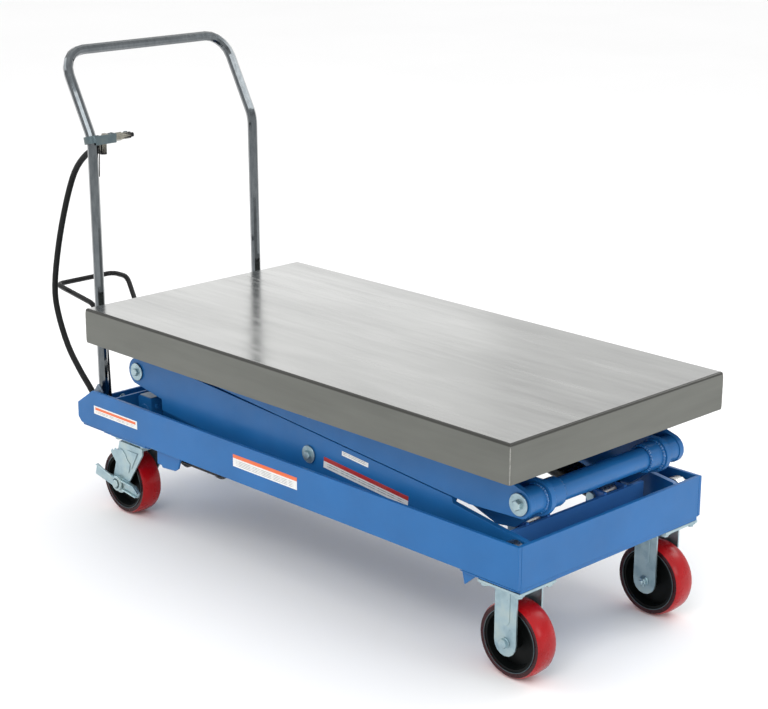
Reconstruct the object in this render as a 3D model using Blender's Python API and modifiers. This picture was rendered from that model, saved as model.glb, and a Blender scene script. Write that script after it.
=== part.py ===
"""Double scissor lift cart: stainless deck, two scissor stages, wheeled base with push handle.

Metres, +Z up, floor at z = 0. The long side lies along X with the push handle at -X, "near" is -Y and
"far" is +Y. The lift stands fully lowered. Every part hangs from the empty cart_centre, which puts the
middle of the whole cart's footprint on the world origin; the deck's middle is that empty's own x = 0.
"""

import math

import bmesh
import bpy
from mathutils import Matrix, Vector

# Driving dimensions ------------------------------------------------------------------------------
DECK_LENGTH = 1.232
DECK_WIDTH = 0.617
DECK_TOP = 0.490
SKIRT_BOTTOM = 0.414
SKIN = 0.003

BASE_LEFT = -0.714
BASE_RIGHT = 0.606
BASE_HALF_WIDTH = 0.268
BASE_BOTTOM = 0.201
BASE_TOP = 0.284
TRAY_TOP = 0.246
TRAY_INNER_X = -0.585
PLATE = 0.008
GAP = 0.0003

LEG_LENGTH = 1.118
STAGE_RISE = 0.0945
LEG_THICKNESS = 0.012
OUTER_LEG_Y = 0.217
INNER_LEG_Y = 0.168
PIVOT_LEFT_X = -0.549
PIVOT_BASE_Z = 0.249
PIN_RADIUS = 0.0125
PIN_HOLE_RADIUS = 0.0131
PIN_SIDES = 16
ROLLER_RADIUS = 0.028
COLLAR_LENGTH = 0.035
LOWER_ROLLER_Y = 0.228
ROLLER_WIDTH = 0.024
TRACK_LENGTH = 0.255
PIVOT_BLOCK = 0.029

WHEEL_RADIUS = 0.075
WHEEL_HALF_WIDTH = 0.025
TREAD_INNER_RADIUS = 0.062
WHEEL_Y = 0.204
RIGID_WHEEL_X = 0.553
SWIVEL_AXIS_X = -0.556
SWIVEL_TRAIL = 0.050
CASTER_TOP = 0.1925
FORK_HALF_WIDTH = 0.036
SHEET = 0.0035
AXLE_RADIUS = 0.006

HANDLE_RADIUS = 0.0111
HANDLE_Y = 0.227
HANDLE_FOOT = (-0.668, 0.2015)
HANDLE_BEND = (-0.677, 0.838)
HANDLE_TOP = (-0.7776, 1.018)

PEDAL_RADIUS = 0.006
PEDAL_PIVOT = (-0.692, 0.222)
PEDAL_TOP = 0.474
PEDAL_NEAR_Y = -0.196
PEDAL_FAR_Y = -0.036
PEDAL_REACH = -0.880
PEDAL_ROD_END = 0.016
PEDAL_SLOT = 0.020

HOSE_RADIUS = 0.0068

CYLINDER_Y = 0.113
CYLINDER_RADIUS = 0.026
ROD_RADIUS = 0.0125
CYLINDER_FOOT = (0.487, 0.258)
CYLINDER_HEAD = (0.040, 0.360)
CYLINDER_CLOSED = 0.370
CYLINDER_PIN = 0.0092
EAR_OFFSET = 0.030
EAR_THICKNESS = 0.008
LUG_RADIUS = 0.018

ANCHOR_X = 0.512
ANCHOR_TOP = 0.268
DECK_LUG_Y = 0.2325
DECK_LUG = 0.010
DECK_RIB = 0.030
DECK_RIB_Y = 0.275
DECK_CROSS_RIB = 0.150
AIR_CLAMP = (-0.6792, -0.227, 0.838)
AIR_ARM_END = -0.172
HANDLE_LEAN = math.radians(28.5)
HOSE_ROUTE = (
    (-0.689, -0.200, 0.812),
    (-0.701, -0.200, 0.812),
    (-0.741, -0.200, 0.793),
    (-0.784, -0.201, 0.749),
    (-0.816, -0.206, 0.672),
    (-0.838, -0.215, 0.576),
    (-0.852, -0.220, 0.481),
    (-0.842, -0.222, 0.420),
    (-0.806, -0.224, 0.350),
    (-0.760, -0.226, 0.301),
    (-0.716, -0.229, 0.266),
    (-0.695, -0.230, 0.238),
    (-0.694, -0.230, 0.203),
)

REST_ANGLE = math.asin(STAGE_RISE / LEG_LENGTH)
LEG_RUN = LEG_LENGTH * math.cos(REST_ANGLE)
PIVOT_RIGHT_X = PIVOT_LEFT_X + LEG_RUN
PIVOT_MIDDLE_X = (PIVOT_LEFT_X + PIVOT_RIGHT_X) / 2
KNUCKLE_Z = PIVOT_BASE_Z + STAGE_RISE
PIVOT_DECK_Z = KNUCKLE_Z + STAGE_RISE
LOWER_MIDDLE_Z = (PIVOT_BASE_Z + KNUCKLE_Z) / 2
UPPER_MIDDLE_Z = (KNUCKLE_Z + PIVOT_DECK_Z) / 2
CENTRE_SHIFT = -(RIGID_WHEEL_X + WHEEL_RADIUS + PEDAL_REACH - PEDAL_RADIUS) / 2

SIDES = (("near", -1), ("far", 1))


# Scene set-up ------------------------------------------------------------------------------------
for leftover in list(bpy.data.objects):
    bpy.data.objects.remove(leftover, do_unlink=True)
lift = bpy.data.collections.new("scissor_lift_cart")
tools = bpy.data.collections.new("cutters")
tools.hide_render = True
bpy.context.scene.collection.children.link(lift)
bpy.context.scene.collection.children.link(tools)
cart_centre = bpy.data.objects.new("cart_centre", None)
cart_centre.location.x = CENTRE_SHIFT
lift.objects.link(cart_centre)


def material(name, colour, roughness, metallic):
    made = bpy.data.materials.new(name)
    made.use_nodes = True
    shader = made.node_tree.nodes["Principled BSDF"]
    shader.inputs["Base Color"].default_value = (*colour, 1.0)
    shader.inputs["Roughness"].default_value = roughness
    shader.inputs["Metallic"].default_value = metallic
    made.diffuse_color = (*colour, 1.0)
    return made


BLUE = material("blue_paint", (0.045, 0.16, 0.42), 0.38, 0.0)
STAINLESS = material("stainless_sheet", (0.62, 0.62, 0.60), 0.22, 1.0)
CHROME = material("chrome_tube", (0.70, 0.72, 0.74), 0.12, 1.0)
ZINC = material("zinc_plate", (0.62, 0.68, 0.72), 0.35, 1.0)
STEEL = material("bright_steel", (0.55, 0.55, 0.54), 0.30, 1.0)
TREAD_RED = material("red_polyurethane", (0.55, 0.02, 0.02), 0.35, 0.0)
CAST = material("black_cast_iron", (0.03, 0.03, 0.035), 0.50, 0.0)
BLACK = material("black_coating", (0.015, 0.015, 0.015), 0.40, 0.0)
RUBBER = material("hose_rubber", (0.012, 0.012, 0.012), 0.55, 0.0)
BRASS = material("brass_fitting", (0.60, 0.45, 0.18), 0.30, 1.0)


# Building helpers --------------------------------------------------------------------------------
def place(obj, location, rotation=(0.0, 0.0, 0.0), parent=cart_centre):
    obj.location = location
    obj.rotation_euler = rotation
    obj.parent = parent
    return obj


def mesh_object(name, mesh, paint, collection=lift):
    mesh.name = name
    mesh.materials.clear()
    mesh.materials.append(paint)
    obj = bpy.data.objects.new(name, mesh)
    collection.objects.link(obj)
    return obj


def box_mesh(low, high):
    """Box between two corners, in the object's own axes."""
    size = Vector(high) - Vector(low)
    middle = (Vector(high) + Vector(low)) / 2
    bm = bmesh.new()
    bmesh.ops.create_cube(bm, size=1.0, matrix=Matrix.Translation(middle) @ Matrix.Diagonal((*size, 1.0)))
    mesh = bpy.data.meshes.new("box")
    bm.to_mesh(mesh)
    bm.free()
    return mesh


def rod_mesh(radius, start, end, segments=24):
    """Round bar between two points, in the object's own axes."""
    start, end = Vector(start), Vector(end)
    turn = (end - start).to_track_quat("Z", "Y").to_matrix().to_4x4()
    bm = bmesh.new()
    bmesh.ops.create_cone(
        bm,
        cap_ends=True,
        segments=segments,
        radius1=radius,
        radius2=radius,
        depth=(end - start).length,
        matrix=Matrix.Translation((start + end) / 2) @ turn,
    )
    mesh = bpy.data.meshes.new("rod")
    bm.to_mesh(mesh)
    bm.free()
    return mesh


def cutter(mesh, parent=cart_centre):
    """Tool for a Boolean: shown as a wire and left out of renders."""
    tool = mesh_object("cutter", mesh, BLUE, tools)
    tool.hide_render = True
    tool.display_type = "WIRE"
    tool.parent = parent
    return tool


def join(obj, mesh, operation="UNION"):
    """Boolean of the object with a mesh given in the object's own axes."""
    tool = cutter(mesh, obj)
    boolean = obj.modifiers.new(operation.lower(), "BOOLEAN")
    boolean.operation = operation
    boolean.object = tool
    boolean.solver = "EXACT"
    return obj


def cut(obj, mesh):
    return join(obj, mesh, "DIFFERENCE")


def circle(centre, radius, segments=24):
    step = math.tau / segments
    return [
        (centre[0] + radius * math.cos(i * step), centre[1] + radius * math.sin(i * step))
        for i in range(segments)
    ]


def arc(centre, radius, start, end, steps):
    """Points from one angle to the other, in degrees."""
    angles = [math.radians(start + (end - start) * i / steps) for i in range(steps + 1)]
    return [(centre[0] + radius * math.cos(a), centre[1] + radius * math.sin(a)) for a in angles]


def plate_mesh(outline, holes, thickness, y=0.0):
    """Flat plate in the XZ plane, centred on the given y, from an outline and its holes."""
    curve = bpy.data.curves.new("plate", "CURVE")
    curve.dimensions = "2D"
    curve.fill_mode = "BOTH"
    curve.extrude = thickness / 2
    for points in [outline, *holes]:
        spline = curve.splines.new("POLY")
        spline.points.add(len(points) - 1)
        spline.use_cyclic_u = True
        for point, (x, z) in zip(spline.points, points):
            point.co = (x, z, 0.0, 1.0)
    flat = bpy.data.objects.new("plate", curve)
    lift.objects.link(flat)
    mesh = mesh_of_curve(flat)
    mesh.transform(Matrix.Translation((0.0, y, 0.0)) @ Matrix.Rotation(math.radians(90), 4, "X"))
    return mesh


def upright_plate(name, outline, holes, thickness, paint):
    return mesh_object(name, plate_mesh(outline, holes, thickness), paint)


def mesh_of_curve(curve_object):
    """Closed mesh of a curve object, which it removes."""
    graph = bpy.context.evaluated_depsgraph_get()
    mesh = bpy.data.meshes.new_from_object(curve_object.evaluated_get(graph))
    bm = bmesh.new()
    bm.from_mesh(mesh)
    bmesh.ops.remove_doubles(bm, verts=bm.verts, dist=0.00001)
    bmesh.ops.recalc_face_normals(bm, faces=bm.faces)
    bm.to_mesh(mesh)
    bm.free()
    curve = curve_object.data
    bpy.data.objects.remove(curve_object)
    bpy.data.curves.remove(curve)
    return mesh


def turned(name, profile, segments, paint, centre):
    """Solid of revolution about the object's Y axis. The profile is (radius, y), from -y to +y."""
    mesh = bpy.data.meshes.new(name)
    bm = bmesh.new()
    points = [bm.verts.new((radius, y, 0.0)) for radius, y in reversed(profile)]
    for first, second in zip(points, points[1:]):
        bm.edges.new((first, second))
    bm.to_mesh(mesh)
    bm.free()
    obj = mesh_object(name, mesh, paint)
    screw = obj.modifiers.new("turn", "SCREW")
    screw.axis = "Y"
    screw.steps = segments
    screw.render_steps = segments
    screw.use_merge_vertices = True
    screw.merge_threshold = 0.00001
    screw.use_smooth_shade = True
    return place(obj, centre)


def mirrored(half):
    """Whole turned profile from its +y half, listed from the axis outwards to the middle."""
    return [(radius, -y) for radius, y in half] + half[::-1]


def round_corner(before, corner, after, radius, steps=5):
    """Points of the arc that rounds one corner of a route."""
    to_before = (before - corner).normalized()
    to_after = (after - corner).normalized()
    half = to_before.angle(to_after) / 2
    reach = radius / math.tan(half)
    centre = corner + (to_before + to_after).normalized() * radius / math.sin(half)
    start = corner + to_before * reach - centre
    axis = start.cross(corner + to_after * reach - centre).normalized()
    turn = math.pi - 2 * half
    return [centre + Matrix.Rotation(turn * i / steps, 3, axis) @ start for i in range(steps + 1)]


def bent_route(corners, radii):
    """Route through the corners with each inner corner rounded to its own radius."""
    route = [Vector(corners[0])]
    for radius, before, corner, after in zip(radii, corners, corners[1:], corners[2:]):
        route += round_corner(Vector(before), Vector(corner), Vector(after), radius)
    route.append(Vector(corners[-1]))
    return route


def tube_object(name, route, radius, resolution, paint):
    """Round tube along a list of points, with filled ends."""
    curve = bpy.data.curves.new(name, "CURVE")
    curve.dimensions = "3D"
    curve.bevel_depth = radius
    curve.bevel_resolution = resolution
    curve.use_fill_caps = True
    spline = curve.splines.new("POLY")
    spline.points.add(len(route) - 1)
    for point, position in zip(spline.points, route):
        point.co = (*position, 1.0)
    obj = bpy.data.objects.new(name, curve)
    curve.materials.append(paint)
    lift.objects.link(obj)
    return obj


# Base frame --------------------------------------------------------------------------------------
def base_sides():
    """Side panels, with the top corner at the handle end cut away."""
    outline = [
        (BASE_LEFT, BASE_BOTTOM + 0.012),
        (BASE_LEFT + 0.012, BASE_BOTTOM),
        (BASE_RIGHT, BASE_BOTTOM),
        (BASE_RIGHT, BASE_TOP),
        (BASE_LEFT + 0.056, BASE_TOP),
        (BASE_LEFT, TRAY_TOP),
    ]
    for side, sign in SIDES:
        panel = upright_plate(f"base_side_{side}", outline, [], PLATE, BLUE)
        place(panel, (0.0, sign * (BASE_HALF_WIDTH - PLATE / 2), 0.0))


def inner_half_width():
    return BASE_HALF_WIDTH - PLATE - GAP


def folded_plate(name, profile, half_width, paint=BLUE):
    """Folded sheet running across the cart: its XZ outline, extruded along Y."""
    return place(upright_plate(name, profile, [], 2 * half_width, paint), (0.0, 0.0, 0.0))


def left_tray():
    """Folded tray at the handle end: outer wall, floor that carries the casters, and inner wall."""
    floor_top = BASE_BOTTOM
    floor_bottom = BASE_BOTTOM - PLATE
    inner = TRAY_INNER_X
    profile = [
        (BASE_LEFT, floor_bottom + 0.012),
        (BASE_LEFT + PLATE, floor_bottom),
        (-0.470, floor_bottom),
        (-0.470, floor_top - GAP),
        (inner, floor_top - GAP),
        (inner, BASE_TOP - 0.003),
        (inner - 0.005, BASE_TOP - 0.003),
        (inner - 0.005, floor_top),
        (BASE_LEFT + 0.005, floor_top),
        (BASE_LEFT + 0.005, TRAY_TOP - 0.001),
        (BASE_LEFT, TRAY_TOP - 0.001),
    ]
    tray = folded_plate("left_tray", profile, inner_half_width())
    floor = box_mesh(
        (-0.628, -BASE_HALF_WIDTH + 0.006, floor_bottom), (-0.478, BASE_HALF_WIDTH - 0.006, floor_top - GAP)
    )
    join(tray, floor)
    x, z = PEDAL_PIVOT
    for y in (PEDAL_NEAR_Y - 0.011, PEDAL_FAR_Y + 0.011):
        join(tray, box_mesh((x - 0.010, y - 0.002, floor_top - 0.004), (x + 0.010, y + 0.002, z + 0.012)))
    cut(tray, rod_mesh(PEDAL_RADIUS + 0.0016, (x, PEDAL_NEAR_Y - 0.020, z), (x, PEDAL_FAR_Y + 0.020, z), 16))
    slot_low = (BASE_LEFT - 0.010, PEDAL_FAR_Y - PEDAL_SLOT / 2, 0.226)
    slot_high = (BASE_LEFT + 0.010, PEDAL_FAR_Y + PEDAL_SLOT / 2, TRAY_TOP + 0.010)
    return cut(tray, box_mesh(slot_low, slot_high))


def right_end():
    """End panel with a bottom flange that carries the rigid casters."""
    profile = [
        (0.461, BASE_BOTTOM - PLATE),
        (BASE_RIGHT - 0.001, BASE_BOTTOM - PLATE),
        (BASE_RIGHT - 0.001, BASE_BOTTOM - GAP),
        (BASE_RIGHT, BASE_BOTTOM - GAP),
        (BASE_RIGHT, BASE_TOP),
        (BASE_RIGHT - PLATE, BASE_TOP),
        (BASE_RIGHT - PLATE, BASE_BOTTOM - GAP),
        (0.461, BASE_BOTTOM - GAP),
    ]
    return folded_plate("right_end", profile, inner_half_width())


def base_cross_members():
    """Channel in the middle, and the beam near the right end whose ears hold the cylinder feet."""
    middle_low = (-0.110, -inner_half_width(), BASE_BOTTOM)
    middle_high = (-0.094, inner_half_width(), BASE_BOTTOM + 0.038)
    place(mesh_object("base_cross_member", box_mesh(middle_low, middle_high), BLUE), (0.0, 0.0, 0.0))
    beam_low = (ANCHOR_X, -0.196, BASE_BOTTOM)
    beam_high = (ANCHOR_X + PLATE, 0.196, ANCHOR_TOP)
    anchor = place(mesh_object("cylinder_anchor", box_mesh(beam_low, beam_high), BLUE), (0.0, 0.0, 0.0))
    x, z = CYLINDER_FOOT
    thick = EAR_THICKNESS / 2
    for sign in (-1, 1):
        middle = sign * CYLINDER_Y
        for ear in (-EAR_OFFSET, EAR_OFFSET):
            low = (x - 0.016, middle + ear - thick, z - 0.018)
            high = (ANCHOR_X + 0.004, middle + ear + thick, z + 0.014)
            join(anchor, box_mesh(low, high))
        pin_end = EAR_OFFSET + thick + 0.006
        join(anchor, rod_mesh(CYLINDER_PIN, (x, middle - pin_end, z), (x, middle + pin_end, z), 16))
    return anchor


def roller_tracks():
    """Folded rails that the lower rollers run on, between the outer legs and the side panels."""
    run_top = PIVOT_BASE_Z - ROLLER_RADIUS - 0.0005
    inner = LOWER_ROLLER_Y - 0.002
    outer = BASE_HALF_WIDTH - PLATE - 0.001
    wall = 0.004
    profile = [
        (inner, BASE_BOTTOM),
        (outer, BASE_BOTTOM),
        (outer, BASE_BOTTOM + wall),
        (inner + wall, BASE_BOTTOM + wall),
        (inner + wall, run_top - wall),
        (outer, run_top - wall),
        (outer, run_top),
        (inner, run_top),
    ]
    for side, sign in SIDES:
        rail = upright_plate(f"roller_track_{side}", profile, [], TRACK_LENGTH, BLUE)
        middle_x = BASE_RIGHT - PLATE - 0.001 - TRACK_LENGTH / 2
        place(rail, (middle_x, 0.0, 0.0), (0.0, 0.0, sign * math.radians(90)))


def pivot_blocks():
    """Blocks on the tray floor that hold the lower pivot shaft, just outboard of the inner legs."""
    foot = BASE_BOTTOM + 0.0005 - PIVOT_BASE_Z
    top = 0.033
    outline = [
        (-0.023, foot),
        (0.023, foot),
        (0.023, top - 0.004),
        (0.019, top),
        (-0.019, top),
        (-0.023, top - 0.004),
    ]
    inner = INNER_LEG_Y + LEG_THICKNESS / 2 + 0.0025
    for side, sign in SIDES:
        hole = circle((0.0, 0.0), PIN_HOLE_RADIUS, PIN_SIDES)
        block = upright_plate(f"pivot_block_{side}", outline, [hole], PIVOT_BLOCK, BLUE)
        place(block, (PIVOT_LEFT_X, sign * (inner + PIVOT_BLOCK / 2), PIVOT_BASE_Z))


# Scissor legs ------------------------------------------------------------------------------------
def leg_outline(upper, lower, left_radius, right_radius):
    """Leg in its own axes, u along the leg from its middle. The edges list (u, v) from left to right."""
    half = LEG_LENGTH / 2
    left = arc((-half, 0.0), left_radius, 110, 250, 8)
    right = arc((half, 0.0), right_radius, -70, 70, 8)
    return left + lower + right + upper[::-1]


def leg_pair(name, outline, joint_u, joint_x, joint_z, y, lean):
    """Two plates, one on each side, with their origin on the leg's joint axis."""
    shift = [(u - joint_u, v) for u, v in outline]
    holes = [
        circle((u - joint_u, 0.0), PIN_HOLE_RADIUS, PIN_SIDES)
        for u in (-LEG_LENGTH / 2, 0.0, LEG_LENGTH / 2)
    ]
    for side, sign in SIDES:
        plate = upright_plate(f"{name}_{side}", shift, holes, LEG_THICKNESS, BLUE)
        place(plate, (joint_x, sign * y, joint_z), (0.0, -lean, 0.0))


def legs():
    half = LEG_LENGTH / 2
    lower_outer = leg_outline(
        upper=[
            (-0.535, 0.031),
            (-0.430, 0.044),
            (-0.100, 0.0485),
            (0.388, 0.0480),
            (0.391, 0.038),
            (0.505, 0.031),
        ],
        lower=[
            (-0.520, -0.033),
            (-0.4735, -0.037),
            (-0.470, -0.062),
            (0.306, -0.062),
            (0.450, -0.044),
            (0.530, -0.030),
        ],
        left_radius=0.031,
        right_radius=0.030,
    )
    leg_pair("lower_outer_leg", lower_outer, 0.0, PIVOT_MIDDLE_X, LOWER_MIDDLE_Z, OUTER_LEG_Y, -REST_ANGLE)
    lower_inner = leg_outline(
        upper=[(-0.530, 0.028), (-0.450, 0.044), (0.440, 0.044), (0.520, 0.036)],
        lower=[
            (-0.530, -0.028),
            (-0.450, -0.044),
            (0.345, -0.048),
            (0.349, -0.030),
            (0.360, -0.030),
            (0.455, -0.070),
            (0.500, -0.068),
            (0.545, -0.040),
        ],
        left_radius=0.028,
        right_radius=0.035,
    )
    leg_pair("lower_inner_leg", lower_inner, -half, PIVOT_LEFT_X, PIVOT_BASE_Z, INNER_LEG_Y, REST_ANGLE)
    upper_outer = leg_outline(
        upper=[(-0.480, 0.026), (-0.300, 0.040), (0.440, 0.044), (0.520, 0.036)],
        lower=[(-0.530, -0.028), (-0.440, -0.044), (0.440, -0.044), (0.525, -0.032)],
        left_radius=0.026,
        right_radius=0.028,
    )
    leg_pair("upper_outer_leg", upper_outer, half, PIVOT_RIGHT_X, KNUCKLE_Z, OUTER_LEG_Y, -REST_ANGLE)
    upper_inner = leg_outline(
        upper=[(-0.520, 0.036), (-0.440, 0.042), (0.200, 0.042), (0.480, 0.024)],
        lower=[(-0.520, -0.036), (-0.440, -0.042), (0.440, -0.042), (0.530, -0.026)],
        left_radius=0.033,
        right_radius=0.024,
    )
    leg_pair("upper_inner_leg", upper_inner, 0.0, PIVOT_MIDDLE_X, UPPER_MIDDLE_Z, INNER_LEG_Y, REST_ANGLE)


def shaft_profile(middle_radius, collar_radius, hub_radius):
    """Cross shaft: middle, collars against the inner legs, hubs, and pins through both legs."""
    inner_face = INNER_LEG_Y - LEG_THICKNESS / 2 - GAP
    inner_back = INNER_LEG_Y + LEG_THICKNESS / 2 + GAP
    outer_face = OUTER_LEG_Y - LEG_THICKNESS / 2 - GAP
    end = OUTER_LEG_Y + LEG_THICKNESS / 2 + 0.0015
    half = [
        (0.0, end),
        (PIN_RADIUS, end),
        (PIN_RADIUS, outer_face),
        (hub_radius, outer_face),
        (hub_radius, inner_back),
        (PIN_RADIUS, inner_back),
        (PIN_RADIUS, inner_face),
        (collar_radius, inner_face),
        (collar_radius, inner_face - COLLAR_LENGTH),
        (middle_radius, inner_face - COLLAR_LENGTH),
    ]
    return mirrored(half)


def end_shaft_profile(pin_start, end):
    """Cross shaft with a pin at each end and a thicker middle."""
    return mirrored([(0.0, end), (PIN_RADIUS, end), (PIN_RADIUS, pin_start), (0.016, pin_start)])


def cross_shafts():
    slim = shaft_profile(PIN_RADIUS, 0.018, 0.018)
    torque = shaft_profile(0.0225, 0.028, 0.026)
    centre = turned("lower_centre_shaft", slim, PIN_SIDES, STEEL, (PIVOT_MIDDLE_X, 0.0, LOWER_MIDDLE_Z))
    for middle in (-CYLINDER_Y, CYLINDER_Y):
        for ear in (-EAR_OFFSET, EAR_OFFSET):
            join(centre, push_lug(middle + ear))
    turned("upper_centre_shaft", slim, PIN_SIDES, STEEL, (PIVOT_MIDDLE_X, 0.0, UPPER_MIDDLE_Z))
    turned("left_knuckle_shaft", torque, 24, BLUE, (PIVOT_LEFT_X, 0.0, KNUCKLE_Z))
    turned("right_knuckle_shaft", torque, 24, BLUE, (PIVOT_RIGHT_X, 0.0, KNUCKLE_Z))
    inner_face = INNER_LEG_Y - LEG_THICKNESS / 2 - GAP
    base_profile = end_shaft_profile(inner_face, INNER_LEG_Y + LEG_THICKNESS / 2 + PIVOT_BLOCK)
    turned("base_pivot_shaft", base_profile, PIN_SIDES, STEEL, (PIVOT_LEFT_X, 0.0, PIVOT_BASE_Z))
    outer_face = OUTER_LEG_Y - LEG_THICKNESS / 2 - GAP
    deck_profile = end_shaft_profile(outer_face, DECK_LUG_Y + DECK_LUG / 2)
    turned("deck_pivot_shaft", deck_profile, PIN_SIDES, STEEL, (PIVOT_LEFT_X, 0.0, PIVOT_DECK_Z))


def push_lug(y):
    """Lug from the lower centre shaft up to the rod's pin, relative to the shaft's axis."""
    reach = Vector((CYLINDER_HEAD[0] - PIVOT_MIDDLE_X, CYLINDER_HEAD[1] - LOWER_MIDDLE_Z))
    along = math.degrees(math.atan2(reach.y, reach.x))
    tip = arc(reach, LUG_RADIUS, along - 90, along + 90, 8)
    base = arc((0.0, 0.0), LUG_RADIUS - 0.001, along + 90, along + 270, 8)
    hole = circle(reach, CYLINDER_PIN + 0.0008, 16)
    return plate_mesh(tip + base, [hole], EAR_THICKNESS, y)


def rollers():
    """Stage rollers outboard of the legs, with the stub axles that turn in the leg ends."""
    outer_inside = OUTER_LEG_Y - LEG_THICKNESS / 2 - 0.0015
    inner_inside = INNER_LEG_Y - LEG_THICKNESS / 2 - 0.0015
    upper_start = INNER_LEG_Y + LEG_THICKNESS / 2 + 0.0025
    for side, sign in SIDES:
        for stage, stub, start, z in (
            ("lower", outer_inside, LOWER_ROLLER_Y, PIVOT_BASE_Z),
            ("upper", inner_inside, upper_start, PIVOT_DECK_Z),
        ):
            shoulder = start - 0.0020
            profile = [
                (0.0, stub),
                (PIN_RADIUS, stub),
                (PIN_RADIUS, shoulder),
                (0.018, shoulder),
                (0.018, start),
                (ROLLER_RADIUS, start),
                (ROLLER_RADIUS, start + ROLLER_WIDTH),
                (0.0, start + ROLLER_WIDTH),
            ]
            ring = profile if sign > 0 else [(radius, -y) for radius, y in profile[::-1]]
            turned(f"{stage}_roller_{side}", ring, 20, STEEL, (PIVOT_RIGHT_X, 0.0, z))


# Hydraulics --------------------------------------------------------------------------------------
def cylinders():
    """Cylinder barrels with their foot eyes, and rods with their head eyes."""
    foot = Vector((CYLINDER_FOOT[0], 0.0, CYLINDER_FOOT[1]))
    head = Vector((CYLINDER_HEAD[0], 0.0, CYLINDER_HEAD[1]))
    along = (head - foot).normalized()
    lean = -math.atan2(along.z, along.x)
    length = (head - foot).length
    for side, sign in SIDES:
        eye = plate_mesh(circle((0.0, 0.0), 0.018, 20), [circle((0.0, 0.0), 0.0100, 16)], 0.040)
        barrel = mesh_object(f"cylinder_barrel_{side}", eye, BLACK)
        place(barrel, foot + Vector((0.0, sign * CYLINDER_Y, 0.0)), (0.0, lean, 0.0))
        join(barrel, rod_mesh(CYLINDER_RADIUS, (0.026, 0.0, 0.0), (CYLINDER_CLOSED, 0.0, 0.0), 28))
        join(barrel, rod_mesh(0.0185, (0.010, 0.0, 0.0), (0.030, 0.0, 0.0), 16))
        cut(barrel, rod_mesh(ROD_RADIUS + 0.0006, (0.060, 0.0, 0.0), (CYLINDER_CLOSED + 0.01, 0.0, 0.0), 24))
        cut(barrel, rod_mesh(0.0100, (0.0, -0.03, 0.0), (0.0, 0.03, 0.0), 16))
        head_eye = plate_mesh(circle((0.0, 0.0), 0.018, 20), [circle((0.0, 0.0), 0.0100, 16)], 0.040)
        rod = mesh_object(f"cylinder_rod_{side}", head_eye, CHROME)
        place(rod, head + Vector((0.0, sign * CYLINDER_Y, 0.0)), (0.0, lean, 0.0))
        join(rod, rod_mesh(ROD_RADIUS, (0.075 - length, 0.0, 0.0), (-0.014, 0.0, 0.0), 24))
        cut(rod, rod_mesh(0.0100, (0.0, -0.03, 0.0), (0.0, 0.03, 0.0), 16))


def pump_unit():
    """Air-driven hydraulic pump and its oil tank, carried between the tray and the middle channel."""
    tank = mesh_object("pump_unit", box_mesh((-0.525, -0.150, 0.202), (-0.375, 0.020, 0.242)), BLACK)
    place(tank, (0.0, 0.0, 0.0))
    tank.modifiers.new("edge", "BEVEL").width = 0.004
    return join(tank, rod_mesh(0.0195, (-0.380, -0.100, 0.222), (-0.290, -0.100, 0.222), 20))


# Handle, air line and pedal ----------------------------------------------------------------------
def handle():
    """Bent tube: two legs standing in the tray, leaning back above the bend."""
    corners = [
        (HANDLE_FOOT[0], -HANDLE_Y, HANDLE_FOOT[1]),
        (HANDLE_BEND[0], -HANDLE_Y, HANDLE_BEND[1]),
        (HANDLE_TOP[0], -HANDLE_Y, HANDLE_TOP[1]),
        (HANDLE_TOP[0], HANDLE_Y, HANDLE_TOP[1]),
        (HANDLE_BEND[0], HANDLE_Y, HANDLE_BEND[1]),
        (HANDLE_FOOT[0], HANDLE_Y, HANDLE_FOOT[1]),
    ]
    route = bent_route(corners, (0.075, 0.055, 0.055, 0.075))
    return place(tube_object("push_handle", route, HANDLE_RADIUS, 3, CHROME), (0.0, 0.0, 0.0))


def air_fittings():
    """Clamp on the near handle leg with its arm, and the quick-connect inlet with its elbow."""
    x, y, z = AIR_CLAMP
    lean = Vector((-math.sin(HANDLE_LEAN / 2), 0.0, math.cos(HANDLE_LEAN / 2)))
    middle = Vector((x, y, z))
    band = rod_mesh(0.0165, middle - lean * 0.008, middle + lean * 0.008, 20)
    clamp = mesh_object("air_clamp", band, ZINC)
    place(clamp, (0.0, 0.0, 0.0))
    arm_x = x + 0.0125
    join(clamp, box_mesh((arm_x, y, z - 0.010), (arm_x + 0.003, AIR_ARM_END, z + 0.010)))
    end_low = (arm_x - 0.016, AIR_ARM_END - 0.003, z - 0.010)
    join(clamp, box_mesh(end_low, (arm_x + 0.003, AIR_ARM_END, z + 0.010)))
    cut(clamp, rod_mesh(0.0124, middle - lean * 0.02, middle + lean * 0.02, 20))
    nose_x = arm_x - 0.008
    bore_ends = ((nose_x, AIR_ARM_END - 0.01, z), (nose_x, AIR_ARM_END + 0.01, z))
    cut(clamp, rod_mesh(0.0055, *bore_ends, 16))
    inlet = mesh_object("air_inlet", rod_mesh(0.0050, (nose_x, -0.206, z), (nose_x, -0.120, z), 16), BRASS)
    place(inlet, (0.0, 0.0, 0.0))
    join(inlet, rod_mesh(0.0095, (nose_x, AIR_ARM_END + GAP, z), (nose_x, AIR_ARM_END + 0.020, z), 6))
    join(inlet, rod_mesh(0.0075, (nose_x, AIR_ARM_END + 0.015, z), (nose_x, -0.128, z), 16))
    elbow_y = HOSE_ROUTE[0][1]
    hose_z = HOSE_ROUTE[0][2]
    join(inlet, rod_mesh(0.0075, (nose_x, elbow_y, z + 0.006), (nose_x, elbow_y, hose_z - 0.0075), 16))
    join(inlet, rod_mesh(0.0075, (nose_x, elbow_y, hose_z), (HOSE_ROUTE[0][0] + GAP, elbow_y, hose_z), 16))
    return inlet


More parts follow.
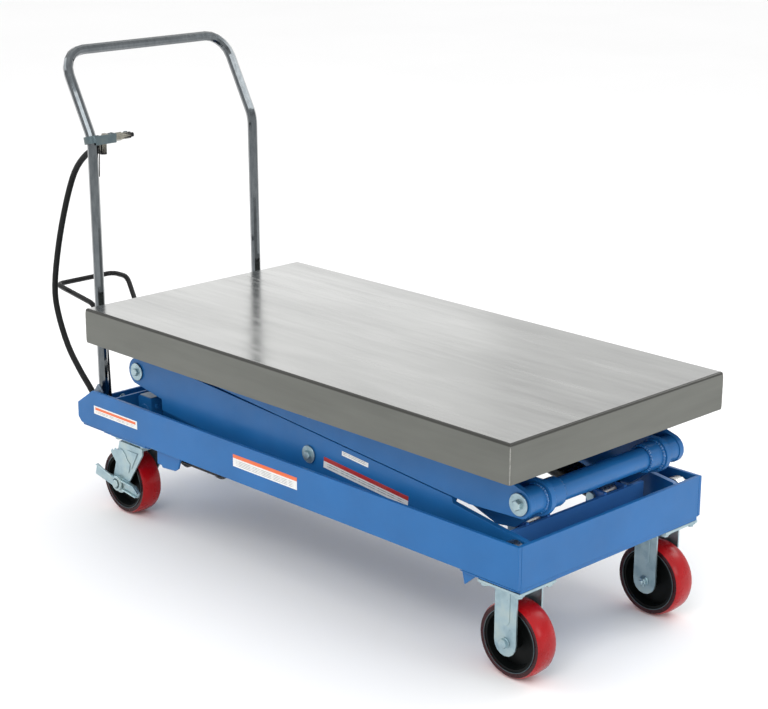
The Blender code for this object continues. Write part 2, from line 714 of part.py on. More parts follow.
def smooth_route(points, spacing):
    """Points along a Catmull-Rom curve through the given ones, about one spacing apart."""
    knots = [Vector(p) for p in points]
    ends = [knots[0] * 2 - knots[1], *knots, knots[-1] * 2 - knots[-2]]
    route = []
    for a, b, c, d in zip(ends, ends[1:], ends[2:], ends[3:]):
        steps = max(1, round((c - b).length / spacing))
        for i in range(steps):
            t = i / steps
            route.append(
                b
                + 0.5 * (c - a) * t
                + 0.5 * (2 * a - 5 * b + 4 * c - d) * t**2
                + 0.5 * (3 * b - a - 3 * c + d) * t**3
            )
    route.append(knots[-1])
    return route


def air_hose():
    """Air hose from the elbow, hanging behind the handle and into the tray."""
    route = smooth_route(HOSE_ROUTE, 0.030)
    return place(tube_object("air_hose", route, HOSE_RADIUS, 2, RUBBER), (0.0, 0.0, 0.0))


def foot_pedal():
    """Pedal loop: cranked near arm, cross bar, straight far arm, and the rod that they turn on."""
    x, z = PEDAL_PIVOT
    back = PEDAL_REACH - x
    top = PEDAL_TOP - z
    corners = [
        (0.0, PEDAL_NEAR_Y, 0.0),
        (-0.007, PEDAL_NEAR_Y, 0.134),
        (-0.046, PEDAL_NEAR_Y, top - 0.020),
        (back, PEDAL_NEAR_Y, top),
        (back, PEDAL_FAR_Y, top),
        (-0.134, PEDAL_FAR_Y, top),
        (0.0, PEDAL_FAR_Y, 0.0),
    ]
    route = bent_route(corners, (0.040, 0.030, 0.018, 0.018, 0.025))
    loop = tube_object("pedal_bar", route, PEDAL_RADIUS, 2, BLACK)
    pedal = mesh_object("foot_pedal", mesh_of_curve(loop), BLACK)
    place(pedal, (x, 0.0, z))
    low_y, high_y = PEDAL_NEAR_Y - PEDAL_ROD_END, PEDAL_FAR_Y + PEDAL_ROD_END
    return join(pedal, rod_mesh(PEDAL_RADIUS + 0.001, (0.0, low_y, 0.0), (0.0, high_y, 0.0), 16))


# Casters -----------------------------------------------------------------------------------------
def fork_leg_y(sign):
    return sign * (FORK_HALF_WIDTH - SHEET / 2)


def rigid_caster(side, sign):
    """Top plate and two straight legs of a rigid caster, with its axle."""
    y = sign * WHEEL_Y
    plate_low = (-0.050, -0.050 + sign * 0.008, CASTER_TOP - 0.005)
    plate = box_mesh(plate_low, (0.052, 0.050 + sign * 0.008, CASTER_TOP))
    bracket = mesh_object(f"rigid_caster_{side}", plate, ZINC)
    place(bracket, (RIGID_WHEEL_X, y, 0.0))
    outline = [
        *arc((0.0, WHEEL_RADIUS), 0.0265, 180, 360, 8),
        (0.0265, CASTER_TOP - 0.002),
        (-0.0265, CASTER_TOP - 0.002),
    ]
    hole = circle((0.0, WHEEL_RADIUS), AXLE_RADIUS + 0.0005, 16)
    for leg in (-1, 1):
        join(bracket, plate_mesh(outline, [hole], SHEET, fork_leg_y(leg)))
    return bracket


def swivel_caster(side, sign):
    """Top plate, swivelling fork with its raceway, and the side brake lever."""
    y = sign * WHEEL_Y
    plate_low = CASTER_TOP - 0.005
    plate = mesh_object(
        f"swivel_plate_{side}", box_mesh((-0.056, -0.050, plate_low), (0.056, 0.050, CASTER_TOP)), ZINC
    )
    place(plate, (SWIVEL_AXIS_X, y, 0.0))
    crown_low = plate_low - 0.018
    fork = mesh_object(
        f"swivel_fork_{side}",
        box_mesh((-0.046, -FORK_HALF_WIDTH, crown_low), (0.036, FORK_HALF_WIDTH, crown_low + 0.005)),
        ZINC,
    )
    place(fork, (SWIVEL_AXIS_X, y, 0.0))
    join(fork, upright_rod(0.030, crown_low + 0.002, plate_low - 0.0005))
    axle = (-SWIVEL_TRAIL, WHEEL_RADIUS)
    outline = [
        *arc(axle, 0.024, 165, 325, 8),
        (0.036, crown_low - 0.010),
        (0.036, crown_low + 0.003),
        (-0.046, crown_low + 0.003),
    ]
    hole = circle(axle, AXLE_RADIUS + 0.0005, 16)
    for leg in (-1, 1):
        join(fork, plate_mesh(outline, [hole], SHEET, fork_leg_y(leg)))
    lever_outline = [
        (-0.084, 0.000),
        (-0.078, 0.026),
        (-0.045, 0.014),
        *arc((0.0, 0.0), 0.016, 120, 60, 3),
        (0.062, 0.008),
        (0.076, -0.006),
        (0.068, -0.018),
        *arc((0.0, 0.0), 0.016, -60, -120, 3),
    ]
    hole = circle((0.0, 0.0), 0.0066, 16)
    lever = upright_plate(f"brake_lever_{side}", lever_outline, [hole], SHEET, ZINC)
    lever_y = y + sign * (FORK_HALF_WIDTH + 0.0006 + SHEET / 2)
    place(lever, (SWIVEL_AXIS_X - SWIVEL_TRAIL, lever_y, WHEEL_RADIUS))
    return fork


def upright_rod(radius, low, high):
    return rod_mesh(radius, (0.0, 0.0, low), (0.0, 0.0, high), 24)


def wheel(name, x, y):
    """Cast hub, bonded tread and axle bolt of one caster wheel."""
    rim = TREAD_INNER_RADIUS - GAP
    half = [
        (AXLE_RADIUS + 0.0006, 0.030),
        (0.017, 0.030),
        (0.019, 0.008),
        (rim - 0.010, 0.006),
        (rim - 0.006, 0.0235),
        (rim, 0.0235),
    ]
    hub = half + [(radius, -offset) for radius, offset in half[::-1]]
    turned(f"{name}_hub", closed(hub[::-1]), 28, CAST, (x, y, WHEEL_RADIUS))
    half = [
        (TREAD_INNER_RADIUS, 0.0240),
        (WHEEL_RADIUS - 0.0045, WHEEL_HALF_WIDTH),
        (WHEEL_RADIUS - 0.0012, WHEEL_HALF_WIDTH - 0.006),
        (WHEEL_RADIUS, 0.006),
    ]
    tread = half + [(radius, -offset) for radius, offset in half[::-1]]
    turned(f"{name}_tread", closed(tread[::-1]), 40, TREAD_RED, (x, y, WHEEL_RADIUS))
    reach = FORK_HALF_WIDTH + 0.0050
    bolt = rod_mesh(AXLE_RADIUS, (0.0, -reach, 0.0), (0.0, reach, 0.0), 16)
    place(mesh_object(f"{name}_axle", bolt, STEEL), (x, y, WHEEL_RADIUS))


def closed(profile):
    return [*profile, profile[0]]


def casters():
    for side, sign in SIDES:
        rigid_caster(side, sign)
        wheel(f"rigid_wheel_{side}", RIGID_WHEEL_X, sign * WHEEL_Y)
        swivel_caster(side, sign)
        wheel(f"swivel_wheel_{side}", SWIVEL_AXIS_X - SWIVEL_TRAIL, sign * WHEEL_Y)


# Deck --------------------------------------------------------------------------------------------
def deck_cover():
    """Stainless cover with its skirts."""
    half_length, half_width = DECK_LENGTH / 2, DECK_WIDTH / 2
    bm = bmesh.new()
    size = Matrix.Diagonal((DECK_LENGTH, DECK_WIDTH, DECK_TOP - SKIRT_BOTTOM, 1.0))
    middle = Matrix.Translation((0.0, 0.0, (DECK_TOP + SKIRT_BOTTOM) / 2))
    bmesh.ops.create_cube(bm, size=1.0, matrix=middle @ size)
    bottom = [face for face in bm.faces if face.normal.z < -0.5]
    bmesh.ops.delete(bm, geom=bottom, context="FACES_ONLY")
    mesh = bpy.data.meshes.new("deck_cover")
    bm.to_mesh(mesh)
    bm.free()
    cover = place(mesh_object("deck_cover", mesh, STAINLESS), (0.0, 0.0, 0.0))
    bend = cover.modifiers.new("bends", "BEVEL")
    bend.width = 0.005
    bend.segments = 2
    wall = cover.modifiers.new("sheet", "SOLIDIFY")
    wall.thickness = SKIN
    wall.offset = -1.0
    wall.use_even_offset = True
    return cover


def deck_frame():
    """Plate under the cover with its pivot lugs, roller tracks, edge ribs and cross ribs."""
    plate_low, plate_high = DECK_TOP - SKIN - 0.0105, DECK_TOP - SKIN - 0.0005
    inner_x = DECK_LENGTH / 2 - SKIN - 0.003
    inner_y = DECK_WIDTH / 2 - SKIN - 0.003
    plate = box_mesh((-inner_x, -inner_y, plate_low), (inner_x, inner_y, plate_high))
    plate.transform(Matrix.Translation((-PIVOT_LEFT_X, 0.0, -PIVOT_DECK_Z)))
    frame = place(mesh_object("deck_frame", plate, BLUE), (PIVOT_LEFT_X, 0.0, PIVOT_DECK_Z))
    top = plate_low - PIVOT_DECK_Z + 0.002
    lug = [*arc((0.0, 0.0), 0.022, 180, 360, 8), (0.022, top), (-0.022, top)]
    hole = circle((0.0, 0.0), PIN_HOLE_RADIUS, PIN_SIDES)
    track_start = INNER_LEG_Y + LEG_THICKNESS / 2
    for sign in (-1, 1):
        join(frame, plate_mesh(lug, [hole], DECK_LUG, sign * DECK_LUG_Y))
        rib_y = sign * DECK_RIB_Y
        join(frame, box_mesh((0.000, rib_y - 0.003, top - DECK_RIB), (1.115, rib_y + 0.003, top)))
        track_ends = sorted((sign * track_start, sign * (track_start + 0.030)))
        track_low = (0.900, track_ends[0], ROLLER_RADIUS + 0.0005)
        join(frame, box_mesh(track_low, (1.150, track_ends[1], top)))
    for x in (0.200, 0.420, 0.760):
        join(frame, box_mesh((x, -DECK_CROSS_RIB, top - DECK_RIB), (x + 0.006, DECK_CROSS_RIB, top)))
    return frame


base_sides()
left_tray()
right_end()
base_cross_members()
roller_tracks()
pivot_blocks()
legs()
cross_shafts()
rollers()
cylinders()
pump_unit()
handle()
air_fittings()
air_hose()
foot_pedal()
casters()
deck_cover()
deck_frame()
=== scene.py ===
"""Looks of the mobile double scissor lift table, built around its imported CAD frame."""

import math

import bmesh
import bpy
from mathutils import Matrix, Vector


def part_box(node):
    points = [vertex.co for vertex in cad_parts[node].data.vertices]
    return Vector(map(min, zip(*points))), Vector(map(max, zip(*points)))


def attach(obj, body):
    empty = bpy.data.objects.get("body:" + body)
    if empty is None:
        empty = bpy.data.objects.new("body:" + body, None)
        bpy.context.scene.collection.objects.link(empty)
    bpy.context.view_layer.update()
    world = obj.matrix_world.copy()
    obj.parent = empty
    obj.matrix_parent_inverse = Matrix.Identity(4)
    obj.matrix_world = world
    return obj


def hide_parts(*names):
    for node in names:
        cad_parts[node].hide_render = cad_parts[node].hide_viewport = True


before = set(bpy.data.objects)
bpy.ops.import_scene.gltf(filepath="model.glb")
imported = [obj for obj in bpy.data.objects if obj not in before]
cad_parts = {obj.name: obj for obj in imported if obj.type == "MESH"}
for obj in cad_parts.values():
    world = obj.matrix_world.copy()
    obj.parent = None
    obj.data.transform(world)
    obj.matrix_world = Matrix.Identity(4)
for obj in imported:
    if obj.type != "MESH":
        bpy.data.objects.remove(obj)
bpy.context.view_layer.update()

# Layout, in metres ----------------------------------------------------------------------------
DECK_X = 0.129
DECK_HALF = (0.616, 0.3085)
DECK_TOP = 0.490
SKIRT_BOTTOM = 0.414
SIDE_FACE_Y = 0.268
CORNER_Y = 0.2595
LEG_FACE_Y = 0.223
LEFT_X, MIDDLE_X, RIGHT_X = -0.420, 0.137, 0.694
LOW_Z, KNUCKLE_Z, HIGH_Z = 0.249, 0.3435, 0.438
LEG_TILT = math.asin(0.0945 / 1.118)
CYLINDER_Y = 0.113
CYLINDER_FOOT = (0.487, 0.258)
CYLINDER_HEAD = (0.040, 0.360)
HANDLE_FOOT = (-0.668, 0.2025)
HANDLE_Y = 0.227
INLET = (-0.6792, 0.838)
WHEEL_Y, WHEEL_Z = 0.204, 0.075
RIGID_X, SWIVEL_X, SWIVEL_AXIS_X = 0.553, -0.606, -0.556
FORK_FACE = 0.0361
LEVER_FACE = 0.0412
SIDES = (("near", -1), ("far", 1))


def at(x, y, z):
    """Point given from the deck's middle, in the frame's metres."""
    return Vector((x + DECK_X, y, z))


def upright(x, y, z=0.0):
    """Matrix that stands local XY up as the frame's XZ, with local Z towards the far side."""
    return Matrix(((1, 0, 0, x), (0, 0, 1, y), (0, 1, 0, z), (0, 0, 0, 1)))


def aligned(centre, axis):
    """Matrix that turns local Z onto the axis and moves to the centre."""
    return Matrix.Translation(Vector(centre)) @ Vector(axis).to_track_quat("Z", "Y").to_matrix().to_4x4()


def aimed(place, ahead):
    """Matrix of a camera or lamp that stands at a place and looks ahead."""
    return Matrix.Translation(place) @ ahead.to_track_quat("-Z", "Y").to_matrix().to_4x4()


# Camera ---------------------------------------------------------------------------------------
def make_camera():
    yaw, pitch, roll = math.radians(45.586), math.radians(16.460), math.radians(0.199)
    data = bpy.data.cameras.new("camera")
    data.sensor_width = 36.0
    data.lens = 89.667
    data.shift_x = 0.0049
    data.shift_y = -0.00676
    camera = bpy.data.objects.new("camera", data)
    bpy.context.scene.collection.objects.link(camera)
    level = math.cos(pitch)
    ahead = Vector((-math.sin(yaw) * level, math.cos(yaw) * level, -math.sin(pitch)))
    place = at(2.6744, -2.6391, 1.5761)
    camera.matrix_world = aimed(place, ahead) @ Matrix.Rotation(roll, 4, "Z")
    bpy.context.scene.camera = camera


make_camera()


# Materials ------------------------------------------------------------------------------------
class Paint:
    """A node material under construction, with its Principled shader."""

    def __init__(self, name, colour, rough, metal=0.0):
        self.material = bpy.data.materials.new(name)
        self.material.use_nodes = True
        self.nodes = self.material.node_tree.nodes
        self.links = self.material.node_tree.links
        self.shader = self.nodes["Principled BSDF"]
        self.shader.inputs["Base Color"].default_value = (*colour, 1.0)
        self.shader.inputs["Roughness"].default_value = rough
        self.shader.inputs["Metallic"].default_value = metal
        self.coords = self.nodes.new("ShaderNodeTexCoord")
        self.colour = colour

    def add(self, kind, **values):
        node = self.nodes.new(kind)
        for key, value in values.items():
            setattr(node, key, value)
        return node

    def noise(self, scale, detail=3.0, rough=0.55, stretch=(1, 1, 1)):
        """Noise in the frame's metres, stretched along an axis by dividing its scale."""
        mapping = self.add("ShaderNodeMapping")
        mapping.inputs["Scale"].default_value = stretch
        texture = self.add("ShaderNodeTexNoise")
        texture.inputs["Scale"].default_value = scale
        texture.inputs["Detail"].default_value = detail
        texture.inputs["Roughness"].default_value = rough
        self.links.new(self.coords.outputs["Object"], mapping.inputs["Vector"])
        self.links.new(mapping.outputs["Vector"], texture.inputs["Vector"])
        return texture.outputs["Fac"]

    def ramp(self, source, stops):
        """Colour ramp over a value: stops are (position, colour)."""
        node = self.add("ShaderNodeValToRGB")
        elements = node.color_ramp.elements
        while len(elements) < len(stops):
            elements.new(0.5)
        for element, (position, colour) in zip(elements, stops):
            element.position = position
            element.color = (*colour, 1.0)
        self.links.new(source, node.inputs["Fac"])
        return node.outputs["Color"]

    def spread(self, source, low, high, start=0.3, end=0.7):
        """The value mapped from start..end onto low..high."""
        node = self.add("ShaderNodeMapRange")
        node.inputs["From Min"].default_value = start
        node.inputs["From Max"].default_value = end
        node.inputs["To Min"].default_value = low
        node.inputs["To Max"].default_value = high
        self.links.new(source, node.inputs["Value"])
        return node.outputs["Result"]

    def mix(self, factor, a, b):
        """Colours a and b mixed by a factor: each is a socket, or a and b may be plain colours."""
        node = self.add("ShaderNodeMix", data_type="RGBA")
        for socket, value in (("Factor", factor), ("A", a), ("B", b)):
            wanted = next(s for s in node.inputs if s.name == socket and s.enabled)
            if isinstance(value, bpy.types.NodeSocket):
                self.links.new(value, wanted)
            else:
                wanted.default_value = (*value, 1.0)
        return next(s for s in node.outputs if s.enabled)

    def combine(self, operation, a, b):
        """Math node on a and b, where b is a socket or a number."""
        node = self.add("ShaderNodeMath", operation=operation)
        self.links.new(a, node.inputs[0])
        if isinstance(b, bpy.types.NodeSocket):
            self.links.new(b, node.inputs[1])
        else:
            node.inputs[1].default_value = b
        return node.outputs[0]

    def place(self):
        """The X, Y and Z of the surface point as shares of the piece's box."""
        split = self.add("ShaderNodeSeparateXYZ")
        self.links.new(self.coords.outputs["Generated"], split.inputs["Vector"])
        return split.outputs

    def gloss(self, **levels):
        """Constant shader sockets: coat, coat_rough and specular."""
        sockets = {"coat": "Coat Weight", "coat_rough": "Coat Roughness", "specular": "Specular IOR Level"}
        for name, level in levels.items():
            self.shader.inputs[sockets[name]].default_value = level

    def set(self, socket, source):
        self.links.new(source, self.shader.inputs[socket])

    def bump(self, height, depth, strength=1.0):
        """Bump of the given depth in metres."""
        node = self.add("ShaderNodeBump")
        node.inputs["Strength"].default_value = strength
        node.inputs["Distance"].default_value = depth
        self.links.new(height, node.inputs["Height"])
        last = self.shader.inputs["Normal"]
        if last.is_linked:
            self.links.new(last.links[0].from_socket, node.inputs["Normal"])
        self.links.new(node.outputs["Normal"], last)

    def mottle(self, amount, scale, stretch=(1, 1, 1)):
        """Base colour made a little lighter and darker in soft patches."""
        dark = tuple(c * (1 - amount) for c in self.colour)
        light = tuple(min(1.0, c * (1 + amount)) for c in self.colour)
        patches = self.ramp(self.noise(scale, stretch=stretch), [(0.3, dark), (0.7, light)])
        self.set("Base Color", patches)
        return patches

    def scuffs(self, base, worn, scale, start=0.66, end=0.72):
        """Small worn spots of another colour."""
        spots = self.spread(self.noise(scale, 6.0, 0.7), 0.0, 1.0, start, end)
        self.set("Base Color", self.mix(spots, base, worn))


def blue_paint(name="blue_paint_coat", rough=0.36, coat=0.06, colour=(0.012, 0.124, 0.350)):
    p = Paint(name, colour, rough)
    base = p.mottle(0.09, 7.0)
    p.scuffs(base, tuple(0.66 * c for c in colour), 46.0, 0.68, 0.76)
    p.set("Roughness", p.spread(p.noise(24.0), rough - 0.06, rough + 0.08))
    p.bump(p.noise(420.0, 2.0), 0.00012, 0.35)
    p.bump(p.noise(38.0, 2.0), 0.0004, 0.20)
    p.gloss(coat=coat, coat_rough=0.10, specular=0.32)
    return p.material


def stainless(name, colour, rough, stretch):
    """Brushed sheet: the grain runs along the axis whose stretch is smallest."""
    p = Paint(name, colour, rough, 1.0)
    grain = p.noise(150.0, 4.0, 0.7, stretch)
    tone = p.noise(9.0, 3.0, 0.6, tuple(max(s, 0.22) for s in stretch))
    dark = tuple(c * 0.90 for c in colour)
    light = tuple(min(1.0, c * 1.09) for c in colour)
    patches = p.ramp(tone, [(0.35, dark), (0.65, light)])
    streaks = p.spread(grain, 0.0, 0.20, 0.35, 0.75)
    p.set("Base Color", p.mix(streaks, patches, tuple(min(1.0, c * 1.22) for c in colour)))
    p.set("Roughness", p.spread(p.noise(60.0, 4.0, 0.7, stretch), rough - 0.05, rough + 0.09))
    p.bump(grain, 0.00006, 0.5)
    p.bump(p.noise(3.2, 1.0), 0.0012, 0.18)
    return p.material


def zinc_plate(name="zinc_plate_finish", shade=1.0):
    """Bluish zinc plate, darkened as a whole by the shade."""
    middle = tuple(shade * c for c in (0.37, 0.49, 0.53))
    dark = tuple(shade * c for c in (0.27, 0.38, 0.43))
    light = tuple(shade * c for c in (0.45, 0.54, 0.53))
    p = Paint(name, middle, 0.36, 0.85)
    base = p.ramp(p.noise(34.0, 4.0), [(0.3, dark), (0.5, middle), (0.72, light)])
    p.set("Base Color", base)
    p.scuffs(base, tuple(shade * c for c in (0.20, 0.25, 0.26)), 90.0, 0.66, 0.74)
    p.set("Roughness", p.spread(p.noise(70.0), 0.30, 0.48))
    p.bump(p.noise(260.0, 3.0), 0.0002, 0.30)
    return p.material


def chrome_tube():
    """Glossy chrome with a painted reflection: its very dark base colour stands in for the dark surroundings
    it reflects, and paler streaks along the tube are painted highlights.
    """
    p = Paint("chrome_tube_painted_reflection", (0.058, 0.070, 0.078), 0.10, 1.0)
    # Paler streaks along the tube: painted highlights.
    patches = p.spread(p.noise(120.0, 4.0, 0.7, (1, 1, 0.3)), 0.0, 0.30, 0.35, 0.75)
    p.set("Base Color", p.mix(patches, p.colour, (0.26, 0.28, 0.29)))
    p.set("Roughness", p.spread(p.noise(120.0, 4.0, 0.7, (1, 1, 0.15)), 0.06, 0.17))
    p.bump(p.noise(90.0, 2.0, 0.5, (1, 1, 0.2)), 0.0001, 0.22)
    p.gloss(coat=1.0, coat_rough=0.04)
    return p.material


def turned_steel():
    p = Paint("turned_steel", (0.60, 0.60, 0.58), 0.28, 1.0)
    base = p.mottle(0.12, 60.0)
    p.scuffs(base, (0.36, 0.34, 0.31), 130.0, 0.66, 0.74)
    p.set("Roughness", p.spread(p.noise(180.0), 0.20, 0.40))
    p.bump(p.noise(500.0, 2.0), 0.0001, 0.3)
    return p.material


def roller_steel():
    """Turned roller: a bright running rim around a black side face."""
    p = Paint("roller_steel", (0.55, 0.55, 0.53), 0.26, 1.0)
    place = p.place()
    across, up = (p.combine("SUBTRACT", place[axis], 0.5) for axis in ("X", "Z"))
    radius_squared = p.combine("ADD", p.combine("MULTIPLY", across, across), p.combine("MULTIPLY", up, up))
    rim = p.spread(radius_squared, 0.0, 1.0, 0.185, 0.195)
    bright = p.ramp(p.noise(60.0), [(0.3, (0.46, 0.46, 0.44)), (0.7, (0.62, 0.62, 0.60))])
    p.set("Base Color", p.mix(rim, (0.012, 0.012, 0.012), bright))
    p.set("Roughness", p.spread(p.noise(160.0), 0.20, 0.40))
    p.bump(p.noise(380.0, 2.0), 0.0001, 0.3)
    return p.material


def raw_plate():
    p = Paint("bare_plate", (0.20, 0.25, 0.31), 0.42, 0.75)
    base = p.mottle(0.20, 70.0)
    p.scuffs(base, (0.10, 0.17, 0.30), 60.0, 0.60, 0.70)
    p.set("Roughness", p.spread(p.noise(110.0), 0.40, 0.62))
    p.bump(p.noise(300.0, 3.0), 0.0003, 0.4)
    return p.material


def red_urethane(name="red_urethane_tread", colour=(0.34, 0.003, 0.006), scuff=(0.19, 0.003, 0.006)):
    p = Paint(name, colour, 0.26)
    base = p.mottle(0.14, 18.0)
    p.scuffs(base, scuff, 70.0, 0.66, 0.78)
    p.set("Roughness", p.spread(p.noise(40.0), 0.20, 0.36))
    p.bump(p.noise(150.0, 3.0), 0.0003, 0.25)
    p.gloss(coat=0.08, coat_rough=0.12, specular=0.22)
    return p.material


def black_iron():
    p = Paint("black_cast_iron_paint", (0.0035, 0.0045, 0.0045), 0.36)
    base = p.mottle(0.35, 40.0)
    p.scuffs(base, (0.06, 0.06, 0.058), 120.0, 0.71, 0.77)
    p.set("Roughness", p.spread(p.noise(60.0), 0.32, 0.52))
    p.bump(p.noise(210.0, 4.0, 0.7), 0.0006, 0.35)
    p.gloss(specular=0.12)
    return p.material


def black_coat():
    p = Paint("black_enamel", (0.004, 0.004, 0.0045), 0.25)
    p.gloss(specular=0.22)
    p.mottle(0.30, 30.0)
    p.set("Roughness", p.spread(p.noise(70.0), 0.20, 0.36))
    p.bump(p.noise(260.0, 2.0), 0.0002, 0.25)
    return p.material


def hose_rubber():
    p = Paint("hose_jacket", (0.005, 0.006, 0.006), 0.50)
    p.gloss(specular=0.20)
    base = p.mottle(0.35, 60.0)
    p.scuffs(base, (0.030, 0.029, 0.027), 140.0, 0.62, 0.74)
    p.set("Roughness", p.spread(p.noise(90.0), 0.42, 0.62))
    p.bump(p.noise(700.0, 2.0), 0.0002, 0.35)
    return p.material


def seam_weld():
    p = Paint("seam_weld", (0.30, 0.30, 0.28), 0.30, 1.0)
    p.mottle(0.25, 120.0)
    p.set("Roughness", p.spread(p.noise(200.0), 0.22, 0.42))
    p.bump(p.noise(320.0, 3.0), 0.0004, 0.5)
    return p.material


def brass():
    p = Paint("nickel_on_brass", (0.27, 0.26, 0.22), 0.30, 1.0)
    base = p.mottle(0.18, 90.0)
    p.scuffs(base, (0.26, 0.20, 0.10), 160.0, 0.64, 0.74)
    p.set("Roughness", p.spread(p.noise(200.0), 0.22, 0.42))
    p.bump(p.noise(400.0, 2.0), 0.0001, 0.3)
    return p.material


def label_film(name, bands, rules, margin=0.0):
    """Printed film: bands are (start, colour) upwards, and rules are (low, high, count) of faint lines."""
    p = Paint(name, (0.8, 0.8, 0.8), 0.35)
    place = p.place()
    along, up = place["X"], place["Z"]
    shown = p.ramp(up, bands)
    shown.node.color_ramp.interpolation = "CONSTANT"
    low, high, count = rules
    wave = p.combine("MULTIPLY", up, count * 2 * math.pi)
    sine = p.add("ShaderNodeMath", operation="SINE")
    p.links.new(wave, sine.inputs[0])
    mask = p.spread(sine.outputs[0], 0.0, 1.0, 0.35, 0.75)
    for limit in (
        p.spread(up, 1.0, 0.0, high - 0.01, high),
        p.spread(up, 0.0, 1.0, low, low + 0.01),
        p.spread(along, 0.0, 1.0, 0.04, 0.05),
        p.spread(along, 1.0, 0.0, 0.93, 0.96),
        p.spread(p.noise(75.0, 2.0, 0.5, (1, 1, 0.05)), 0.35, 1.0, 0.42, 0.52),
    ):
        mask = p.combine("MULTIPLY", mask, limit)
    shown = p.mix(mask, shown, GREY_LINE)
    if margin:
        start = p.spread(along, 1.0, 0.0, margin - 0.004, margin)
        end = p.spread(along, 0.0, 1.0, 1.0 - margin, 1.0 - margin + 0.004)
        shown = p.mix(p.combine("MAXIMUM", start, end), shown, WHITE_INK)
    grime = p.spread(p.noise(30.0), 0.0, 0.10)
    p.set("Base Color", p.mix(grime, shown, (0.45, 0.43, 0.40)))
    p.set("Roughness", p.spread(p.noise(80.0), 0.28, 0.42))
    p.bump(p.noise(120.0, 2.0), 0.0001, 0.2)
    return p.material


BLUE = blue_paint()
# A lighter copy of the blue paint, used on the cylinder anchor: painted light on the shaded inside of the
# base.
LIT_INNER_BLUE = blue_paint("blue_paint_painted_light_inside", 0.34, 0.1, (0.060, 0.23, 0.62))
WELD_BLUE = blue_paint("blue_paint_on_welds", 0.16, 0.6)
DECK = stainless("deck_stainless", (0.575, 0.58, 0.568), 0.20, (0.035, 1, 1))
# Darker copies of the deck's stainless for the cover's skirts and bends: painted shade that stands in for the
# darker light on those faces.
SHADED_SKIRT = stainless("skirt_stainless_painted_shade", (0.158, 0.162, 0.148), 0.34, (0.05, 0.05, 1))
SHADED_BEND = stainless("bend_stainless_painted_shade", (0.075, 0.075, 0.070), 0.30, (0.05, 0.05, 1))
SEAM = seam_weld()
CHROME = chrome_tube()
ZINC = zinc_plate()
CLAMP = zinc_plate("dull_zinc_finish", 0.30)
STEEL = turned_steel()
ROLLER = roller_steel()
BARE = raw_plate()
RED = red_urethane()
# Near-black red for the sides of the treads: painted shade on the tread's side faces.
SHADED_TREAD_SIDE = red_urethane("worn_tread_side", (0.035, 0.007, 0.009), (0.012, 0.006, 0.006))
IRON = black_iron()
BLACK = black_coat()
HOSE = hose_rubber()
BRASS = brass()
WHITE_INK, ORANGE_INK, RED_INK = (0.80, 0.80, 0.78), (0.78, 0.13, 0.02), (0.45, 0.015, 0.012)
GREY_LINE = (0.22, 0.22, 0.22)


# Finishes of the CAD nodes ----------------------------------------------------------------------
def finish_of(node):
    """Material of a CAD node, by the start or the end of its name."""
    starts = (
        (("air_clamp",), CLAMP),
        # The cylinder anchor takes the lightened blue: painted light.
        (("cylinder_anchor",), LIT_INNER_BLUE),
        (("rigid_caster", "swivel_", "brake_lever"), ZINC),
        (("rigid_wheel", "cylinder_barrel", "foot_pedal", "pump_unit"), BLACK),
        (("push_handle",), CHROME),
        (("cylinder_rod",), STEEL),
        (("air_inlet",), BRASS),
        (("air_hose",), HOSE),
        (("lower_roller", "upper_roller"), ROLLER),
        (("base_pivot_shaft", "deck_pivot_shaft"), STEEL),
        (("lower_centre_shaft", "upper_centre_shaft"), STEEL),
    )
    for ending, material in (("_tread", RED), ("_hub", IRON), ("_axle", STEEL)):
        if node.endswith(ending):
            return material
    for names, material in starts:
        if node.startswith(names):
            return material
    return BLUE


def soften(piece, width, angle):
    """Shared corners welded, edges eased by the width or else split, and curved faces shaded smooth."""
    for face in piece.data.polygons:
        face.use_smooth = True
    if piece.data.has_custom_normals:
        piece.data.attributes.remove(piece.data.attributes["custom_normal"])
    weld = piece.modifiers.new("weld", "WELD")
    weld.merge_threshold = 0.00002
    if width:
        ease = piece.modifiers.new("ease", "BEVEL")
        ease.width = width
        ease.segments = 2
        ease.limit_method = "ANGLE"
        ease.angle_limit = math.radians(angle)
        ease.use_clamp_overlap = True
        ease.harden_normals = True
    else:
        split = piece.modifiers.new("split", "EDGE_SPLIT")
        split.split_angle = math.radians(angle)


SMOOTH_ANGLE = 32.0
EASE_WIDTH = 0.0012
EASED = ("base_side", "left_tray", "right_end", "lower_outer", "lower_inner", "upper_outer", "upper_inner")
for node_name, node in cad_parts.items():
    if node_name == "deck_cover":
        continue
    node.data.materials.clear()
    node.data.materials.append(finish_of(node_name))
    soften(node, EASE_WIDTH if node_name.startswith(EASED) else 0.0, SMOOTH_ANGLE)
    # The side faces of each tread take the painted shade.
    if node_name.endswith("_tread"):
        node.data.materials.append(SHADED_TREAD_SIDE)
        for face in node.data.polygons:
            face.material_index = 1 if abs(face.normal.y) > 0.75 else 0


# Mesh helpers ---------------------------------------------------------------------------------
CORE = 0.0003


def piece_of(name, bm, material, body, smooth=False, place=None):
    """Object from the bmesh, which it frees, riding on a body."""
    mesh = bpy.data.meshes.new(name)
    bmesh.ops.recalc_face_normals(bm, faces=bm.faces)
    bm.to_mesh(mesh)
    bm.free()
    mesh.materials.append(material)
    made = bpy.data.objects.new(name, mesh)
    bpy.context.scene.collection.objects.link(made)
    if place:
        made.matrix_world = place
    if smooth:
        for face in mesh.polygons:
            face.use_smooth = True
        split = made.modifiers.new("split", "EDGE_SPLIT")
        split.split_angle = math.radians(SMOOTH_ANGLE)
    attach(made, body)
    return made


